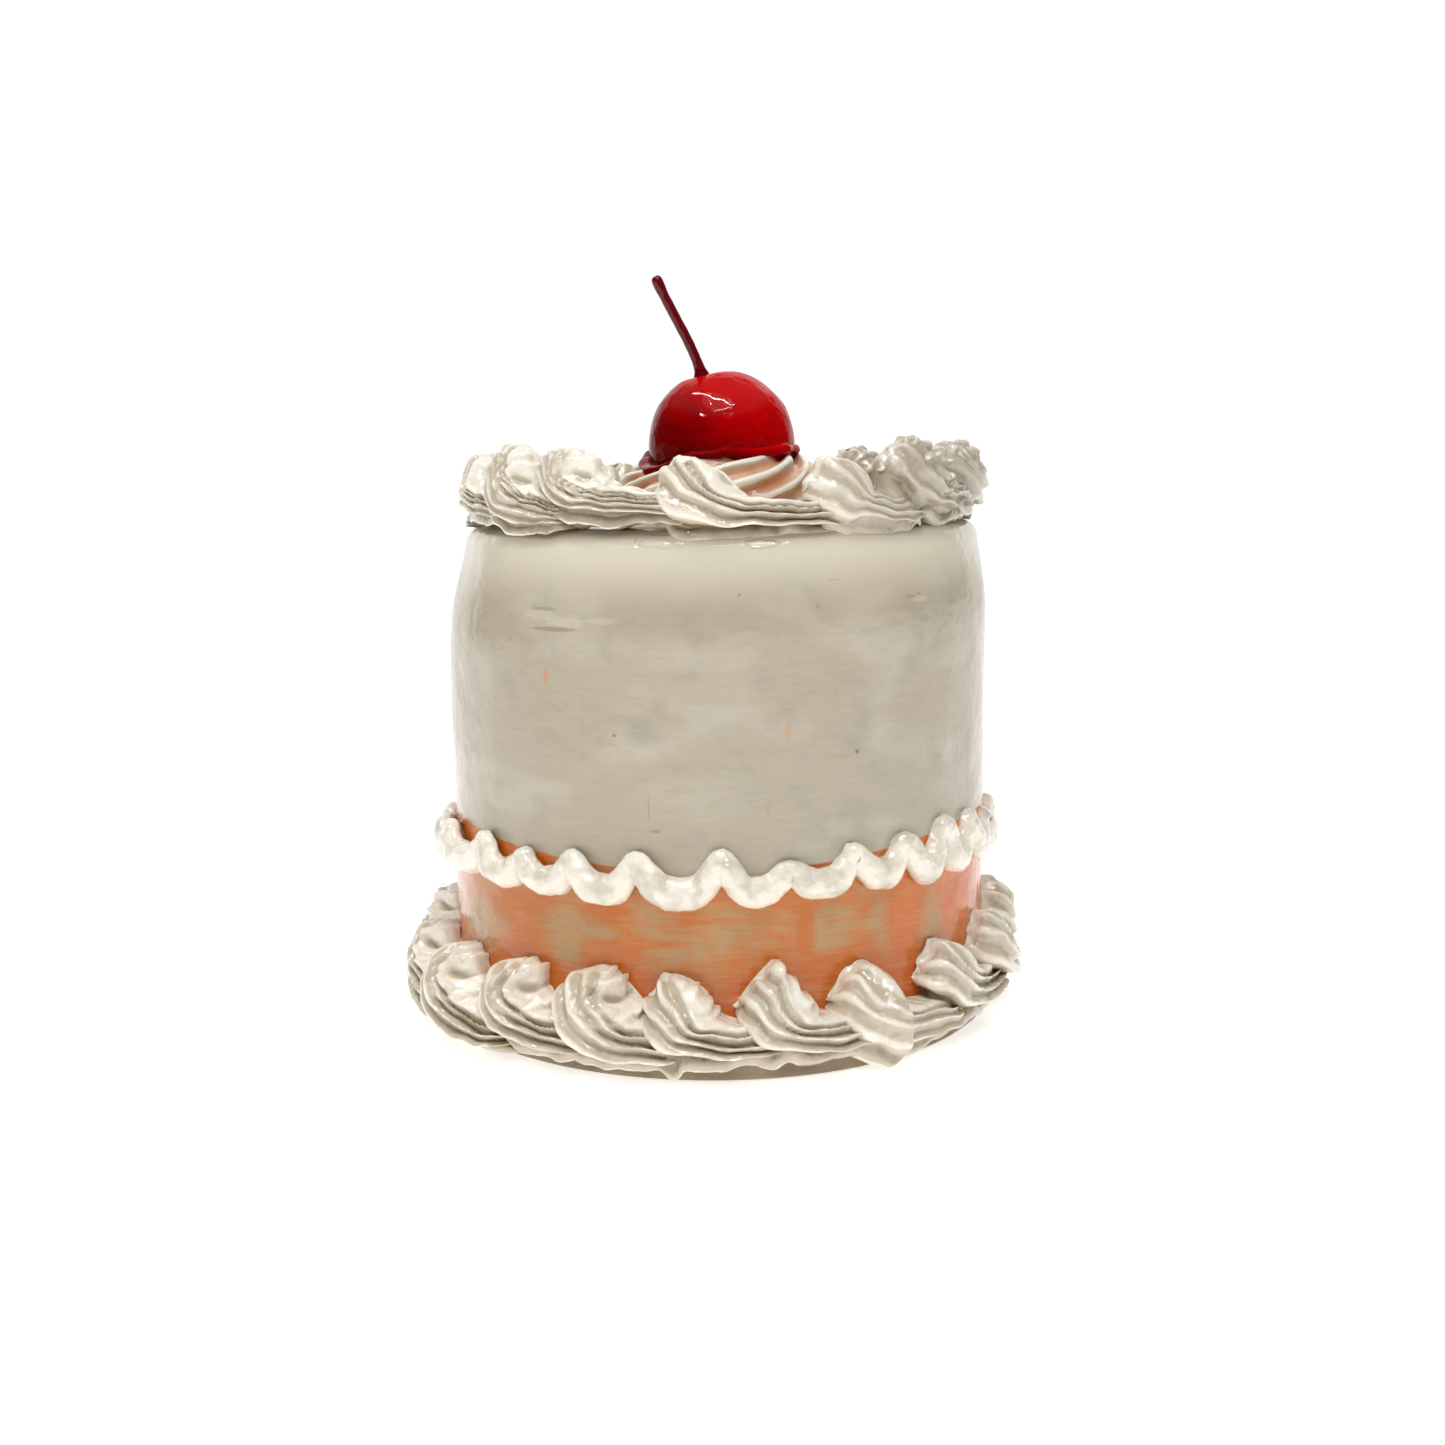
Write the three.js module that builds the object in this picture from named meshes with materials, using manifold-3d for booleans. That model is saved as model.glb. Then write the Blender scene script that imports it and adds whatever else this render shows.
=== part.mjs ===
// A glazed ceramic copy of a small round iced cake. A clay slab carries a round body, whose foot is painted
// as a coral band below a cream upper part. Piped strokes of clay stand round the foot and lie round the
// rim, a wavy rope covers the edge of the paint, and a cherry with its stem sits in a piped nest on top.
// The front of the cake faces -Y, +Z is up, and the slab stands on Z = 0.
import * as THREE from "three";
import { mergeVertices } from "three/addons/utils/BufferGeometryUtils.js";
import Module from "manifold-3d";

const wasm = await Module();
wasm.setup();

// Driving dimensions, in millimetres, with angles in degrees from the front and counter-clockwise from
// above
const GAP = 0.3; // clearance between neighbouring pieces

const SLAB_RADIUS = 52.6;
const SLAB_THICKNESS = 4;
const SLAB_ROUNDING = 1.3;
const SLAB_UNEVEN = 0.9;
const SLAB_ROOM = 0.5; // more than the gap, for the corners of the coarse cutter
const RIM_LIFT = 0.5; // the same, between the top and the rim's strokes
const STROKE_ROOM = 0.15; // the same, where a stroke makes room for the next one
const FOOT_CLEARANCE = 1.6; // from the table to the lowest of the foot's strokes

const WALL_RADIUS = 50.6;
const BAND_TOP = 36;
const SHOULDER_RADIUS = 47.7; // where the wall ends, under the rim's strokes
const SHOULDER_HEIGHT = 89;
const TOP_RADIUS = 41; // where the flat top begins
const TOP_HEIGHT = 92;
const TOP_SHIFT = 1.4; // the top leans this far to +X
const LEAN_FROM = 66; // height at which the lean begins
// The wall's radius and height where it draws in
const WALL_PROFILE = [[50.6, 71], [50.2, 78], [49, 85], [SHOULDER_RADIUS, SHOULDER_HEIGHT]];

// The rope over the edge of the paint: the turn and height of each peak that shows, and the height of the
// low point after it
const ROPE_PEAKS_SEEN = [
  [-63, 37.4, 32.4],
  [-51.8, 37.2, 32.4],
  [-40.2, 35.9, 32.8],
  [-28.5, 36.6, 32.2],
  [-15.8, 37.3, 31.9],
  [0.6, 37.7, 32.2],
  [13.1, 35.4, 32.8],
  [26.4, 37.4, 33],
  [38.3, 37.8, 32.3],
  [50.2, 39, 32],
  [61, 38.6, 32.6],
];
const ROPE_PEAKS_HIDDEN = 17;
const ROPE_PEAK_HEIGHT = 37.4; // of the hidden ones, with the spread next to it
const ROPE_PEAK_SPREAD = 0.9;
const ROPE_LOW_HEIGHT = 32.4;
const ROPE_LOW_SPREAD = 0.4;
const ROPE_RADIUS = 2.4;
const ROPE_THICKNESS = 2.3; // from the wall to the rope's crest, on the right
const ROPE_LEFT = 1.8; // how much thicker it is on the left
const ROPE_PINCH = 0.07; // how much of a wave its peaks are narrowed by

const CHERRY_RADIUS = 13.8;
const CHERRY_CENTRE = new THREE.Vector3(1.4, 0, 105.7);
const DIMPLE_LEAN = 13; // the dimple's axis leans this far towards -X
const DIMPLE_DEPTH = 1.7;
const DIMPLE_WIDTH = 14; // degrees from the dimple's middle to its side
const STEM_RADIUS = 1.08;
const STEM_FLARE = 0.4; // the share that the foot of the stem is wider
const STEM_TAPER = 0.3; // the share that its tip is thinner
const STEM_POINTS = [
  [-2.0, 0, 118.3],
  [-2.6, 0, 121.3],
  [-3.95, 0, 124.8],
  [-5.75, 0, 128],
  [-7.6, 0, 131.2],
  [-9.1, 0, 134.2],
  [-10.15, 0, 136.5],
];

const NEST_MIDDLE = 13; // radius of the middle of its rope
const NEST_ROPE = 6.4; // half width of the rope
const NEST_HEIGHT = 98; // height of the rope's middle
const NEST_RIDGES = 8; // round the rope
const NEST_CLIMB = 8; // ridges that the pattern climbs in a turn
const NEST_VALLEY = 0.8;

// The two rings of piped strokes. A stroke comes over its crown, sweeps down round its eye and runs out as
// a tail along the ring under the next stroke. The turns and heights of the eyes that show from the front
// are given, and the others are spread round the back. A stroke's looks go from a curl (shell 0) to a
// ribbed shell (shell 1), and its ribs may slant.
const PLAIN_STROKE = { shell: 0, slant: 0, size: 1 };
const FOOT_RING = {
  middle: WALL_RADIUS,
  eyeHeight: 13.6,
  eyeTilt: 0,
  stout: 1.31,
  left: 0.24,
  drop: 1,
  back: 0,
  ribs: 4,
  seenEyes: [
    [-79, 11.6],
    [-57, 11.6],
    [-37.5, 13.1],
    [-19.5, 13.6],
    [-3, 14.3],
    [14.8, 14.3],
    [33, 13.4],
    [54, 14.8],
    [74.5, 15.6],
    [93, 15.6],
  ],
  hiddenEyes: 9,
  looks: {
    1: { size: 1.04 },
    4: { shell: 1, slant: 0.38 },
    5: { shell: 1, slant: 0.42 },
    6: { shell: 0.8, slant: 0.4 },
    7: { shell: 0.7, slant: 0.3, size: 1.05 },
    8: { shell: 0.7, slant: 0.3, size: 1.05 },
    11: { shell: 0.8, slant: 0.3 },
    12: { shell: 0.5, slant: 0.1 },
    15: { shell: 1, slant: 0.35 },
  },
};
const RIM_RING = {
  middle: 43.8,
  eyeHeight: 97.8,
  eyeTilt: 2.4,
  stout: 0.72,
  left: 0,
  drop: 0.84,
  back: 0.9,
  ribs: 4,
  seenEyes: [
    [-76, 100.4],
    [-48, 100.4],
    [-31, 101],
    [0, 99.9],
    [32, 99.5],
    [52, 101.4],
    [76, 101.2],
  ],
  hiddenEyes: 8,
  looks: {
    1: { size: 1.08 },
    2: { shell: 0.3, slant: 0.1 },
    3: { shell: 1, slant: 0.35 },
    4: { shell: 1, slant: 0.4 },
    5: { shell: 0.2, size: 1.04 },
    6: { shell: 0.5 },
    10: { shell: 1, slant: 0.35 },
    13: { shell: 0.8, slant: 0.3 },
  },
};

// Stations along a stroke of size 1, measured from its eye along the ring and up: the two ends of the
// smooth slope behind the eye, the outer edge under the ribs, how far the ribbed face bows away from the
// line between its edges, and how far it stands out
const CURLED = [
  [[4.0, -1.6], [-0.9, 2.8], [-9.4, -0.6], 1.8, 1],
  [[5.2, -1.4], [-1.2, 4.6], [-10.6, -0.4], 2.3, 2.9],
  [[5.5, -2.0], [-1.2, 2.8], [-10.5, -2.9], 2.6, 5.4],
  [[5.6, -2.6], [-0.5, 0.0], [-9.2, -6.8], 2.7, 6.9],
  [[6.0, -2.8], [1.4, -1.6], [-6.0, -10.6], 1.8, 7.3],
  [[6.8, -3.2], [4.0, -2.6], [0.5, -11.8], 0.3, 7.1],
  [[8.8, -3.5], [7.8, -3.4], [6.8, -11.4], 0, 6.7],
  [[12.2, -4.4], [11.8, -4.4], [12.0, -10.8], 0, 5.8],
  [[14.8, -6.2], [14.6, -6.3], [15.0, -9.6], 0, 2],
];
const SHELLED = [
  [[1.8, -1.8], [-0.8, 0.6], [-9.8, -1.0], 2.6, 1],
  [[2.2, -1.6], [-0.6, 1.9], [-11.0, -1.0], 3.8, 2.9],
  [[2.4, -2.4], [-0.5, 0.2], [-10.9, -3.8], 3.2, 5.5],
  [[3.0, -3.2], [0.2, -2.2], [-10.0, -7.8], 2.8, 7.1],
  [[4.2, -3.6], [1.8, -3.3], [-7.4, -11.4], 2.0, 7.6],
  [[6.2, -4.0], [4.4, -4.0], [-0.8, -12.4], 0.8, 7.3],
  [[8.8, -4.2], [8.0, -4.2], [6.4, -11.8], 0, 6.8],
  [[12.4, -4.9], [12.0, -4.9], [12.0, -10.9], 0, 5.8],
  [[14.8, -6.4], [14.6, -6.5], [15.0, -9.6], 0, 2],
];
const STATION_REACH = 16.5; // way to the next eye that the stations are drawn for
const HEAD_SHARE = 0.55; // share of a stroke's stations in which its ribs slant
const VALLEY_DEPTH = 0.85; // millimetres
const FACE_PROFILE = [0.5, 0.8, 1, 0.92]; // share of it at the slope's ends, the middle and the outer edge
const SIZE_SPREAD = 0.04; // share by which the strokes differ in size
const HEIGHT_SPREAD = 0.6; // millimetres by which the hidden eyes differ in height
const SCATTER = 2.4; // radians from one stroke to the next in the sine that spreads them

const BODY_SIDES = 40;
const RING_SIDES = 32; // of the nest
const SLAB_SIDES = 28;
const CUTTER_SIDES = 24;

const radians = THREE.MathUtils.degToRad;
const uneven = (index, phase) => Math.sin(SCATTER * index + phase);

const glaze = { roughness: 0.22, metalness: 0 };
const materials = {
  clay: new THREE.MeshStandardMaterial({ color: "#bcaf9a", roughness: 0.55, metalness: 0 }),
  coral: new THREE.MeshStandardMaterial({ color: "#d38c55", ...glaze }),
  cream: new THREE.MeshStandardMaterial({ color: "#cfc6b4", ...glaze }),
  piping: new THREE.MeshStandardMaterial({ color: "#ddd2bd", ...glaze }),
  peach: new THREE.MeshStandardMaterial({ color: "#dcae8c", ...glaze }),
  cherry: new THREE.MeshStandardMaterial({ color: "#a30410", roughness: 0.12, metalness: 0 }),
  stem: new THREE.MeshStandardMaterial({ color: "#6e0510", roughness: 0.18, metalness: 0 }),
};

// A point at a turn in radians from the front, at a radius and a height
function around(turn, radius, height) {
  return new THREE.Vector3(radius * Math.sin(turn), -radius * Math.cos(turn), height);
}

// The same geometry with each vertex moved to where place(vertex) puts it
function reshaped(geometry, place) {
  const positions = geometry.attributes.position;
  const vertex = new THREE.Vector3();
  for (let i = 0; i < positions.count; i += 1) {
    const moved = place(vertex.fromBufferAttribute(positions, i));
    positions.setXYZ(i, moved.x, moved.y, moved.z);
  }
  return geometry;
}

// A point where the leaning top of the cake has it
function leaned(point) {
  point.x += TOP_SHIFT * THREE.MathUtils.smoothstep(point.z, LEAN_FROM, TOP_HEIGHT);
  return point;
}

function solidOf(geometry) {
  const bare = geometry.clone();
  bare.deleteAttribute("normal");
  bare.deleteAttribute("uv");
  const merged = mergeVertices(bare, 1e-3);
  return new wasm.Manifold(
    new wasm.Mesh({
      numProp: 3,
      vertProperties: merged.attributes.position.array,
      triVerts: new Uint32Array(merged.index.array),
    }),
  );
}

function geometryOf(solid) {
  const mesh = solid.getMesh();
  const geometry = new THREE.BufferGeometry();
  geometry.setAttribute("position", new THREE.BufferAttribute(new Float32Array(mesh.vertProperties), 3));
  geometry.setIndex(new THREE.BufferAttribute(new Uint32Array(mesh.triVerts), 1));
  geometry.computeVertexNormals();
  return geometry;
}

// The solid without the scraps that a cut leaves, once its vertices are rounded to a mesh's own precision
function largestPiece(solid) {
  const pieces = solidOf(geometryOf(solid)).decompose();
  return pieces.reduce((best, piece) => (piece.volume() > best.volume() ? piece : best));
}

const cake = new THREE.Group();

function addPiece(name, geometry, material) {
  const mesh = new THREE.Mesh(geometry, material);
  mesh.name = name;
  cake.add(mesh);
  return mesh;
}

// LatheGeometry turns its profile about Y, so each point is stood up on Z, facing out
function lathe(profile, segments) {
  const geometry = new THREE.LatheGeometry(profile.map(([r, z]) => new THREE.Vector2(r, z)), segments);
  return geometry.rotateX(Math.PI / 2);
}

// The slab, with a rounded and slightly uneven rim
function slabRim(turn) {
  return 1 + (SLAB_UNEVEN / SLAB_RADIUS) * (Math.cos(turn + 0.9) + 0.4 * Math.sin(3 * turn));
}

function unevenRim(p) {
  const rim = slabRim(Math.atan2(p.x, -p.y));
  return p.set(p.x * rim, p.y * rim, p.z);
}

function slab() {
  const inner = SLAB_RADIUS - SLAB_ROUNDING;
  const profile = [
    [0, 0],
    [inner, 0],
    [SLAB_RADIUS, SLAB_ROUNDING],
    [SLAB_RADIUS, SLAB_THICKNESS - SLAB_ROUNDING],
    [inner, SLAB_THICKNESS],
    [0, SLAB_THICKNESS],
  ];
  return reshaped(lathe(profile, SLAB_SIDES), unevenRim);
}

// The room that the foot's strokes leave for the slab and the wall
function footRoom() {
  const radius = SLAB_RADIUS + GAP + SLAB_ROOM;
  const top = SLAB_THICKNESS + GAP;
  const slabProfile = [[0, -1], [radius, -1], [radius, top], [0, top]];
  const wallProfile = [[0, -1], [WALL_RADIUS + GAP, -1], [WALL_RADIUS + GAP, BAND_TOP], [0, BAND_TOP]];
  const slabPart = solidOf(reshaped(lathe(slabProfile, CUTTER_SIDES), unevenRim));
  return slabPart.add(solidOf(lathe(wallProfile, BODY_SIDES)));
}

// The body's two layers
function lowerLayer() {
  const foot = SLAB_THICKNESS + GAP;
  const top = BAND_TOP - GAP / 2;
  return lathe([[0, foot], [WALL_RADIUS, foot], [WALL_RADIUS, top], [0, top]], BODY_SIDES);
}

function upperLayer() {
  const foot = BAND_TOP + GAP / 2;
  const top = [[TOP_RADIUS, TOP_HEIGHT], [0, TOP_HEIGHT]];
  return reshaped(lathe([[0, foot], [WALL_RADIUS, foot], ...WALL_PROFILE, ...top], BODY_SIDES), leaned);
}

// The wavy rope, flat where it lies on the wall. Its section is a D in units of its radius.
const ROPE_SECTION = [[0, -0.8], [0.7, -0.85], [1, 0], [0.7, 0.85], [0, 0.8]];
const ROPE_STEPS = 4; // along each wave

function ropePeaks() {
  const first = ROPE_PEAKS_SEEN[0][0];
  const last = ROPE_PEAKS_SEEN[ROPE_PEAKS_SEEN.length - 1][0];
  const spacing = (first + 360 - last) / (ROPE_PEAKS_HIDDEN + 1);
  const hidden = Array.from({ length: ROPE_PEAKS_HIDDEN }, (_, i) => [
    last + spacing * (i + 1) + uneven(i, 0),
    ROPE_PEAK_HEIGHT + ROPE_PEAK_SPREAD * uneven(i, 1),
    ROPE_LOW_HEIGHT + ROPE_LOW_SPREAD * uneven(i, 3),
  ]);
  return [...ROPE_PEAKS_SEEN, ...hidden];
}

// The turn and height of the rope's middle, a number of waves after its first peak
function ropeMiddle(peaks, waves) {
  const index = Math.floor(waves) % peaks.length;
  const t = waves - Math.floor(waves);
  const [turn, height, low] = peaks[index];
  const [following, nextHeight] = peaks[(index + 1) % peaks.length];
  const nextTurn = following < turn ? following + 360 : following;
  const pinch = ROPE_PINCH * Math.sin(2 * Math.PI * t);
  const rise = 0.5 + 0.5 * Math.cos(2 * Math.PI * t);
  const top = height + (nextHeight - height) * THREE.MathUtils.smoothstep(t, 0, 1);
  return { turn: radians(turn + (nextTurn - turn) * (t - pinch)), height: low + (top - low) * rise };
}

function waveRope() {
  const peaks = ropePeaks();
  const sides = ROPE_SECTION.length;
  const blank = new THREE.TorusGeometry(1, 0.5, sides, peaks.length * ROPE_STEPS);
  const positions = blank.attributes.position;
  const uv = blank.attributes.uv;
  const nearby = 0.03;
  for (let i = 0; i < positions.count; i += 1) {
    const waves = peaks.length * (uv.getX(i) % 1);
    const [depth, height] = ROPE_SECTION[Math.round(uv.getY(i) * sides) % sides];
    const middle = ropeMiddle(peaks, waves);
    const before = ropeMiddle(peaks, waves - nearby + peaks.length);
    const after = ropeMiddle(peaks, waves + nearby);
    const swing = Math.atan2(Math.sin(after.turn - before.turn), Math.cos(after.turn - before.turn));
    const run = new THREE.Vector2(swing * WALL_RADIUS, after.height - before.height).normalize();
    const up = ROPE_RADIUS * height;
    const out = ROPE_THICKNESS + ROPE_LEFT * (0.5 - 0.5 * Math.sin(middle.turn));
    const turn = middle.turn - (up * run.y) / WALL_RADIUS;
    const point = around(turn, WALL_RADIUS + GAP + out * depth, middle.height + up * run.x);
    positions.setXYZ(i, point.x, point.y, point.z);
  }
  return blank;
}

// A stroke's section: a point for each share across its face, from -1 at the slope's end over 0 at the
// first rib to 1 at the outer edge, on a half circle, and for the rim's strokes the back of the circle too
function strokeSection(faceShares, backShares) {
  const spots = [
    ...faceShares.map((share) => 90 * share),
    ...backShares.map((share) => 180 - 90 * share),
  ];
  return new THREE.Shape(spots.map((spot) => {
    return new THREE.Vector2(Math.cos(radians(spot)), Math.sin(radians(spot)));
  }));
}

// A foot stroke's points stay above the table
function footPlace(turn, radius, height) {
  return around(turn, radius, Math.max(height, FOOT_CLEARANCE));
}

// A rim stroke's points stay above the top and the shoulder, but the room for it reaches below them
function rimPlace(turn, radius, height, growth) {
  const slope = (TOP_HEIGHT - SHOULDER_HEIGHT) / (SHOULDER_RADIUS - TOP_RADIUS);
  const floor = TOP_HEIGHT + RIM_LIFT - slope * Math.max(0, radius - TOP_RADIUS - 1);
  return leaned(around(turn, radius, growth ? height - growth : Math.max(height, floor)));
}

// The stations of one stroke in millimetres: the edges across its face, the share of them before the first
// rib, and how far the face stands out
function strokeStations(ring, eye, growth) {
  const looks = { ...PLAIN_STROKE, ...ring.looks[eye.index] };
  const size = looks.size * (1 + SIZE_SPREAD * uneven(eye.index, 0.4));
  const stout = ring.stout - ring.left * Math.sin(eye.turn);
  const stretch = eye.reach / (STATION_REACH * size);
  return CURLED.map((curled, i) => {
    const [slope, inner, outer] = [0, 1, 2].map((edge) => {
      const shelled = new THREE.Vector2(...SHELLED[i][edge]);
      const point = new THREE.Vector2(...curled[edge]).lerp(shelled, looks.shell);
      point.multiply(new THREE.Vector2(point.x > 0 ? stretch : 1, point.y < 0 ? ring.drop : 1));
      return point.multiplyScalar(size);
    });
    const [bow, out] = [3, 4].map((k) => {
      return size * THREE.MathUtils.lerp(curled[k], SHELLED[i][k], looks.shell);
    });
    const line = outer.clone().sub(inner);
    const away = new THREE.Vector2(line.y, -line.x).normalize();
    const middle = inner.clone().add(outer).divideScalar(2).addScaledVector(away, bow);
    if (growth) {
      const inwards = inner.clone().sub(slope).normalize();
      slope.addScaledVector(inwards, -growth);
      outer.addScaledVector(line.normalize(), growth);
      [inner, middle, outer].forEach((edge) => edge.addScaledVector(away, growth));
    }
    const sloping = inner.distanceTo(slope);
    return {
      edges: new THREE.SplineCurve([slope, inner, middle, outer]),
      turned: sloping / (sloping + outer.distanceTo(inner)),
      out: out * stout + growth,
      slant: looks.slant * Math.max(0, 1 - i / (CURLED.length - 1) / HEAD_SHARE),
    };
  });
}

// A whole stroke, made from a straight extrusion with a step for each station
function strokeSolid(ring, eye, growth) {
  const stations = strokeStations(ring, eye, growth);
  const steps = stations.length - 1;
  const profile = new THREE.SplineCurve(FACE_PROFILE.map((value, i) => new THREE.Vector2(i, value)));
  const blank = new THREE.ExtrudeGeometry(growth ? ring.plainSection : ring.section, {
    depth: steps,
    steps,
    bevelEnabled: false,
  });
  return solidOf(reshaped(blank, (p) => {
    const station = stations[Math.round(p.z)];
    const spot = THREE.MathUtils.radToDeg(Math.atan2(p.y, p.x));
    const isBack = Math.abs(spot) > 91;
    const face = isBack ? (Math.sign(spot) * (180 - Math.abs(spot))) / 90 : spot / 90;
    const rib = face > 0 && !isBack ? face + station.slant * (1 - face) : Math.max(0, face);
    const across = face < 0 ? station.turned * (1 + face) : station.turned + (1 - station.turned) * rib;
    const sine = Math.abs(2 * across - 1) ** (1 / 0.85);
    const stand = Math.max(0, 1 - sine * sine) ** 0.35 * (isBack ? -ring.back : 1);
    const share = across < station.turned
      ? across / station.turned / 3
      : (1 + (2 * (across - station.turned)) / (1 - station.turned)) / 3;
    const at = station.edges.getPoint(share);
    const isValley = !growth && !isBack && face > 0 && Math.round(face * 2 * ring.ribs) % 2 === 1;
    const out = station.out * profile.getPoint(share).y * stand - (isValley ? VALLEY_DEPTH : 0);
    const turn = eye.turn + at.x / ring.middle;
    return ring.place(turn, ring.middle + out, eye.height + at.y, growth);
  }));
}

// The eyes of a ring, each with the way along the ring to the next one
function ringEyes(ring) {
  const seen = ring.seenEyes;
  const last = seen[seen.length - 1][0];
  const spacing = (seen[0][0] + 360 - last) / (ring.hiddenEyes + 1);
  const hidden = Array.from({ length: ring.hiddenEyes }, (_, i) => {
    const turn = last + spacing * (i + 1);
    const height = ring.eyeHeight + ring.eyeTilt * Math.sin(radians(turn));
    return [turn, height + HEIGHT_SPREAD * uneven(i, 2)];
  });
  const eyes = [...seen, ...hidden];
  return eyes.map(([degrees, height], index) => {
    const next = index + 1 < eyes.length ? eyes[index + 1][0] : eyes[0][0] + 360;
    return { index, turn: radians(degrees), height, reach: radians(next - degrees) * ring.middle };
  });
}

// Each stroke is cut where the next one's head stands on its tail
function addStrokes(ring, name, material, room) {
  const eyes = ringEyes(ring);
  eyes.forEach((eye, index) => {
    const next = eyes[(index + 1) % eyes.length];
    const whole = room ? strokeSolid(ring, eye, 0).subtract(room) : strokeSolid(ring, eye, 0);
    const piece = largestPiece(whole.subtract(strokeSolid(ring, next, GAP + STROKE_ROOM)));
    const number = String(index + 1).padStart(2, "0");
    addPiece(name + "_" + number, geometryOf(piece), material);
  });
}

// The nest: a ridged rope laid in a ring, flat where it lies on the top and hollowed where the cherry sits
// in it
function nest() {
  const sides = 2 * NEST_RIDGES;
  const blank = new THREE.TorusGeometry(1, 0.5, sides, RING_SIDES);
  const positions = blank.attributes.position;
  const uv = blank.attributes.uv;
  for (let i = 0; i < positions.count; i += 1) {
    const turn = 2 * Math.PI * (uv.getX(i) % 1);
    const step = Math.round(uv.getY(i) * sides) % sides;
    const side = (2 * Math.PI * step) / sides;
    const climb = NEST_CLIMB * turn;
    const relief = 1 - (1 - NEST_VALLEY) * (0.5 - 0.5 * Math.cos(NEST_RIDGES * side - climb));
    const radius = NEST_MIDDLE + NEST_ROPE * relief * Math.cos(side);
    const height = NEST_HEIGHT + 0.9 * NEST_ROPE * relief * Math.sin(side);
    const point = around(turn, radius, Math.max(height, TOP_HEIGHT + GAP));
    positions.setXYZ(i, point.x + CHERRY_CENTRE.x, point.y, point.z);
  }
  const room = new THREE.SphereGeometry(CHERRY_RADIUS + GAP, 18, 12).rotateX(Math.PI / 2);
  return solidOf(blank).subtract(solidOf(room.translate(...CHERRY_CENTRE)));
}

// The cherry: a ball with a dimple for the stem, flat where it sits on the top
function cherry() {
  const axis = new THREE.Vector3(-Math.sin(radians(DIMPLE_LEAN)), 0, Math.cos(radians(DIMPLE_LEAN)));
  const ball = new THREE.SphereGeometry(1, 18, 12).rotateX(Math.PI / 2).rotateY(-radians(DIMPLE_LEAN));
  return reshaped(ball, (p) => {
    const fromAxis = THREE.MathUtils.radToDeg(p.angleTo(axis)) / DIMPLE_WIDTH;
    const radius = CHERRY_RADIUS - DIMPLE_DEPTH * Math.exp(-fromAxis * fromAxis);
    p.multiplyScalar(radius).add(CHERRY_CENTRE);
    p.z = Math.max(p.z, TOP_HEIGHT + GAP);
    return p;
  });
}

// The stem widens where it leaves the dimple and ends in a blunt tip
function stem() {
  const path = new THREE.CatmullRomCurve3(STEM_POINTS.map((p) => new THREE.Vector3(...p)));
  const steps = 6;
  const section = new THREE.Shape().absarc(0, 0, 1, 0, 2 * Math.PI);
  const settings = { depth: 1, steps, curveSegments: 4, bevelEnabled: false };
  const blank = new THREE.ExtrudeGeometry(section, settings);
  return reshaped(blank, (p) => {
    const middle = path.getPointAt(p.z);
    const run = path.getTangentAt(p.z);
    const side = new THREE.Vector3(0, 1, 0);
    const across = new THREE.Vector3().crossVectors(side, run);
    const foot = STEM_FLARE * Math.exp(-12 * p.z);
    const tip = STEM_TAPER * THREE.MathUtils.smoothstep(p.z, 0.9, 1);
    const radius = STEM_RADIUS * (1 + foot - tip);
    return middle.addScaledVector(across, radius * p.x).addScaledVector(side, radius * p.y);
  });
}

const ribShares = (ribs) => Array.from({ length: 2 * ribs + 1 }, (_, i) => i / (2 * ribs));
const plainShares = [0, 0.4, 0.7, 0.85, 0.95, 1];
const backShares = [0.5, 0, -0.5];
FOOT_RING.section = strokeSection([-1, ...ribShares(FOOT_RING.ribs)], []);
FOOT_RING.plainSection = strokeSection([-1, ...plainShares], []);
FOOT_RING.place = footPlace;
RIM_RING.section = strokeSection([-1, ...ribShares(RIM_RING.ribs)], backShares);
RIM_RING.plainSection = strokeSection([-1, ...plainShares], backShares);
RIM_RING.place = rimPlace;

addPiece("base_slab", slab(), materials.clay);
addPiece("lower_layer", lowerLayer(), materials.coral);
addPiece("upper_layer", upperLayer(), materials.cream);
addPiece("wave_rope", waveRope(), materials.piping);
addStrokes(FOOT_RING, "foot_stroke", materials.piping, footRoom());
addStrokes(RIM_RING, "rim_stroke", materials.piping);
addPiece("nest", geometryOf(largestPiece(nest())), materials.peach);
const cherrySolid = solidOf(cherry());
addPiece("cherry", geometryOf(cherrySolid), materials.cherry);
addPiece("cherry_stem", geometryOf(solidOf(stem()).subtract(cherrySolid)), materials.stem);

export default cake;
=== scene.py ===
"""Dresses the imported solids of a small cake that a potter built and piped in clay, painted and glazed.

Lengths are in millimetres and angles in degrees from the front, counter-clockwise from above, until a mesh is
finished in metres. The front of the cake faces -Y.
"""
import math
import random

import bmesh
import bpy
from mathutils import Matrix, Vector, noise


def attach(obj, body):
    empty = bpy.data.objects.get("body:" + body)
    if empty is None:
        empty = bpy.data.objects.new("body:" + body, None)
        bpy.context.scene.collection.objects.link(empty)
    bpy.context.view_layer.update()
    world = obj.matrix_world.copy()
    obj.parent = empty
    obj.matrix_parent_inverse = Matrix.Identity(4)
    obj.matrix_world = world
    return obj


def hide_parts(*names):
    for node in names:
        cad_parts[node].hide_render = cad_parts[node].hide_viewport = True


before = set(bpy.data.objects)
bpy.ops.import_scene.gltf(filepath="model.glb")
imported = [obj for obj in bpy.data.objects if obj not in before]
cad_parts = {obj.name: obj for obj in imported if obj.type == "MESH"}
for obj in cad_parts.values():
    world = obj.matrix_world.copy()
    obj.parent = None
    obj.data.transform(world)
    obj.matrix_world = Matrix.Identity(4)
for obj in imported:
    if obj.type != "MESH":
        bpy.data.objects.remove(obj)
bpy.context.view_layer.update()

MM = 0.001

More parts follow.
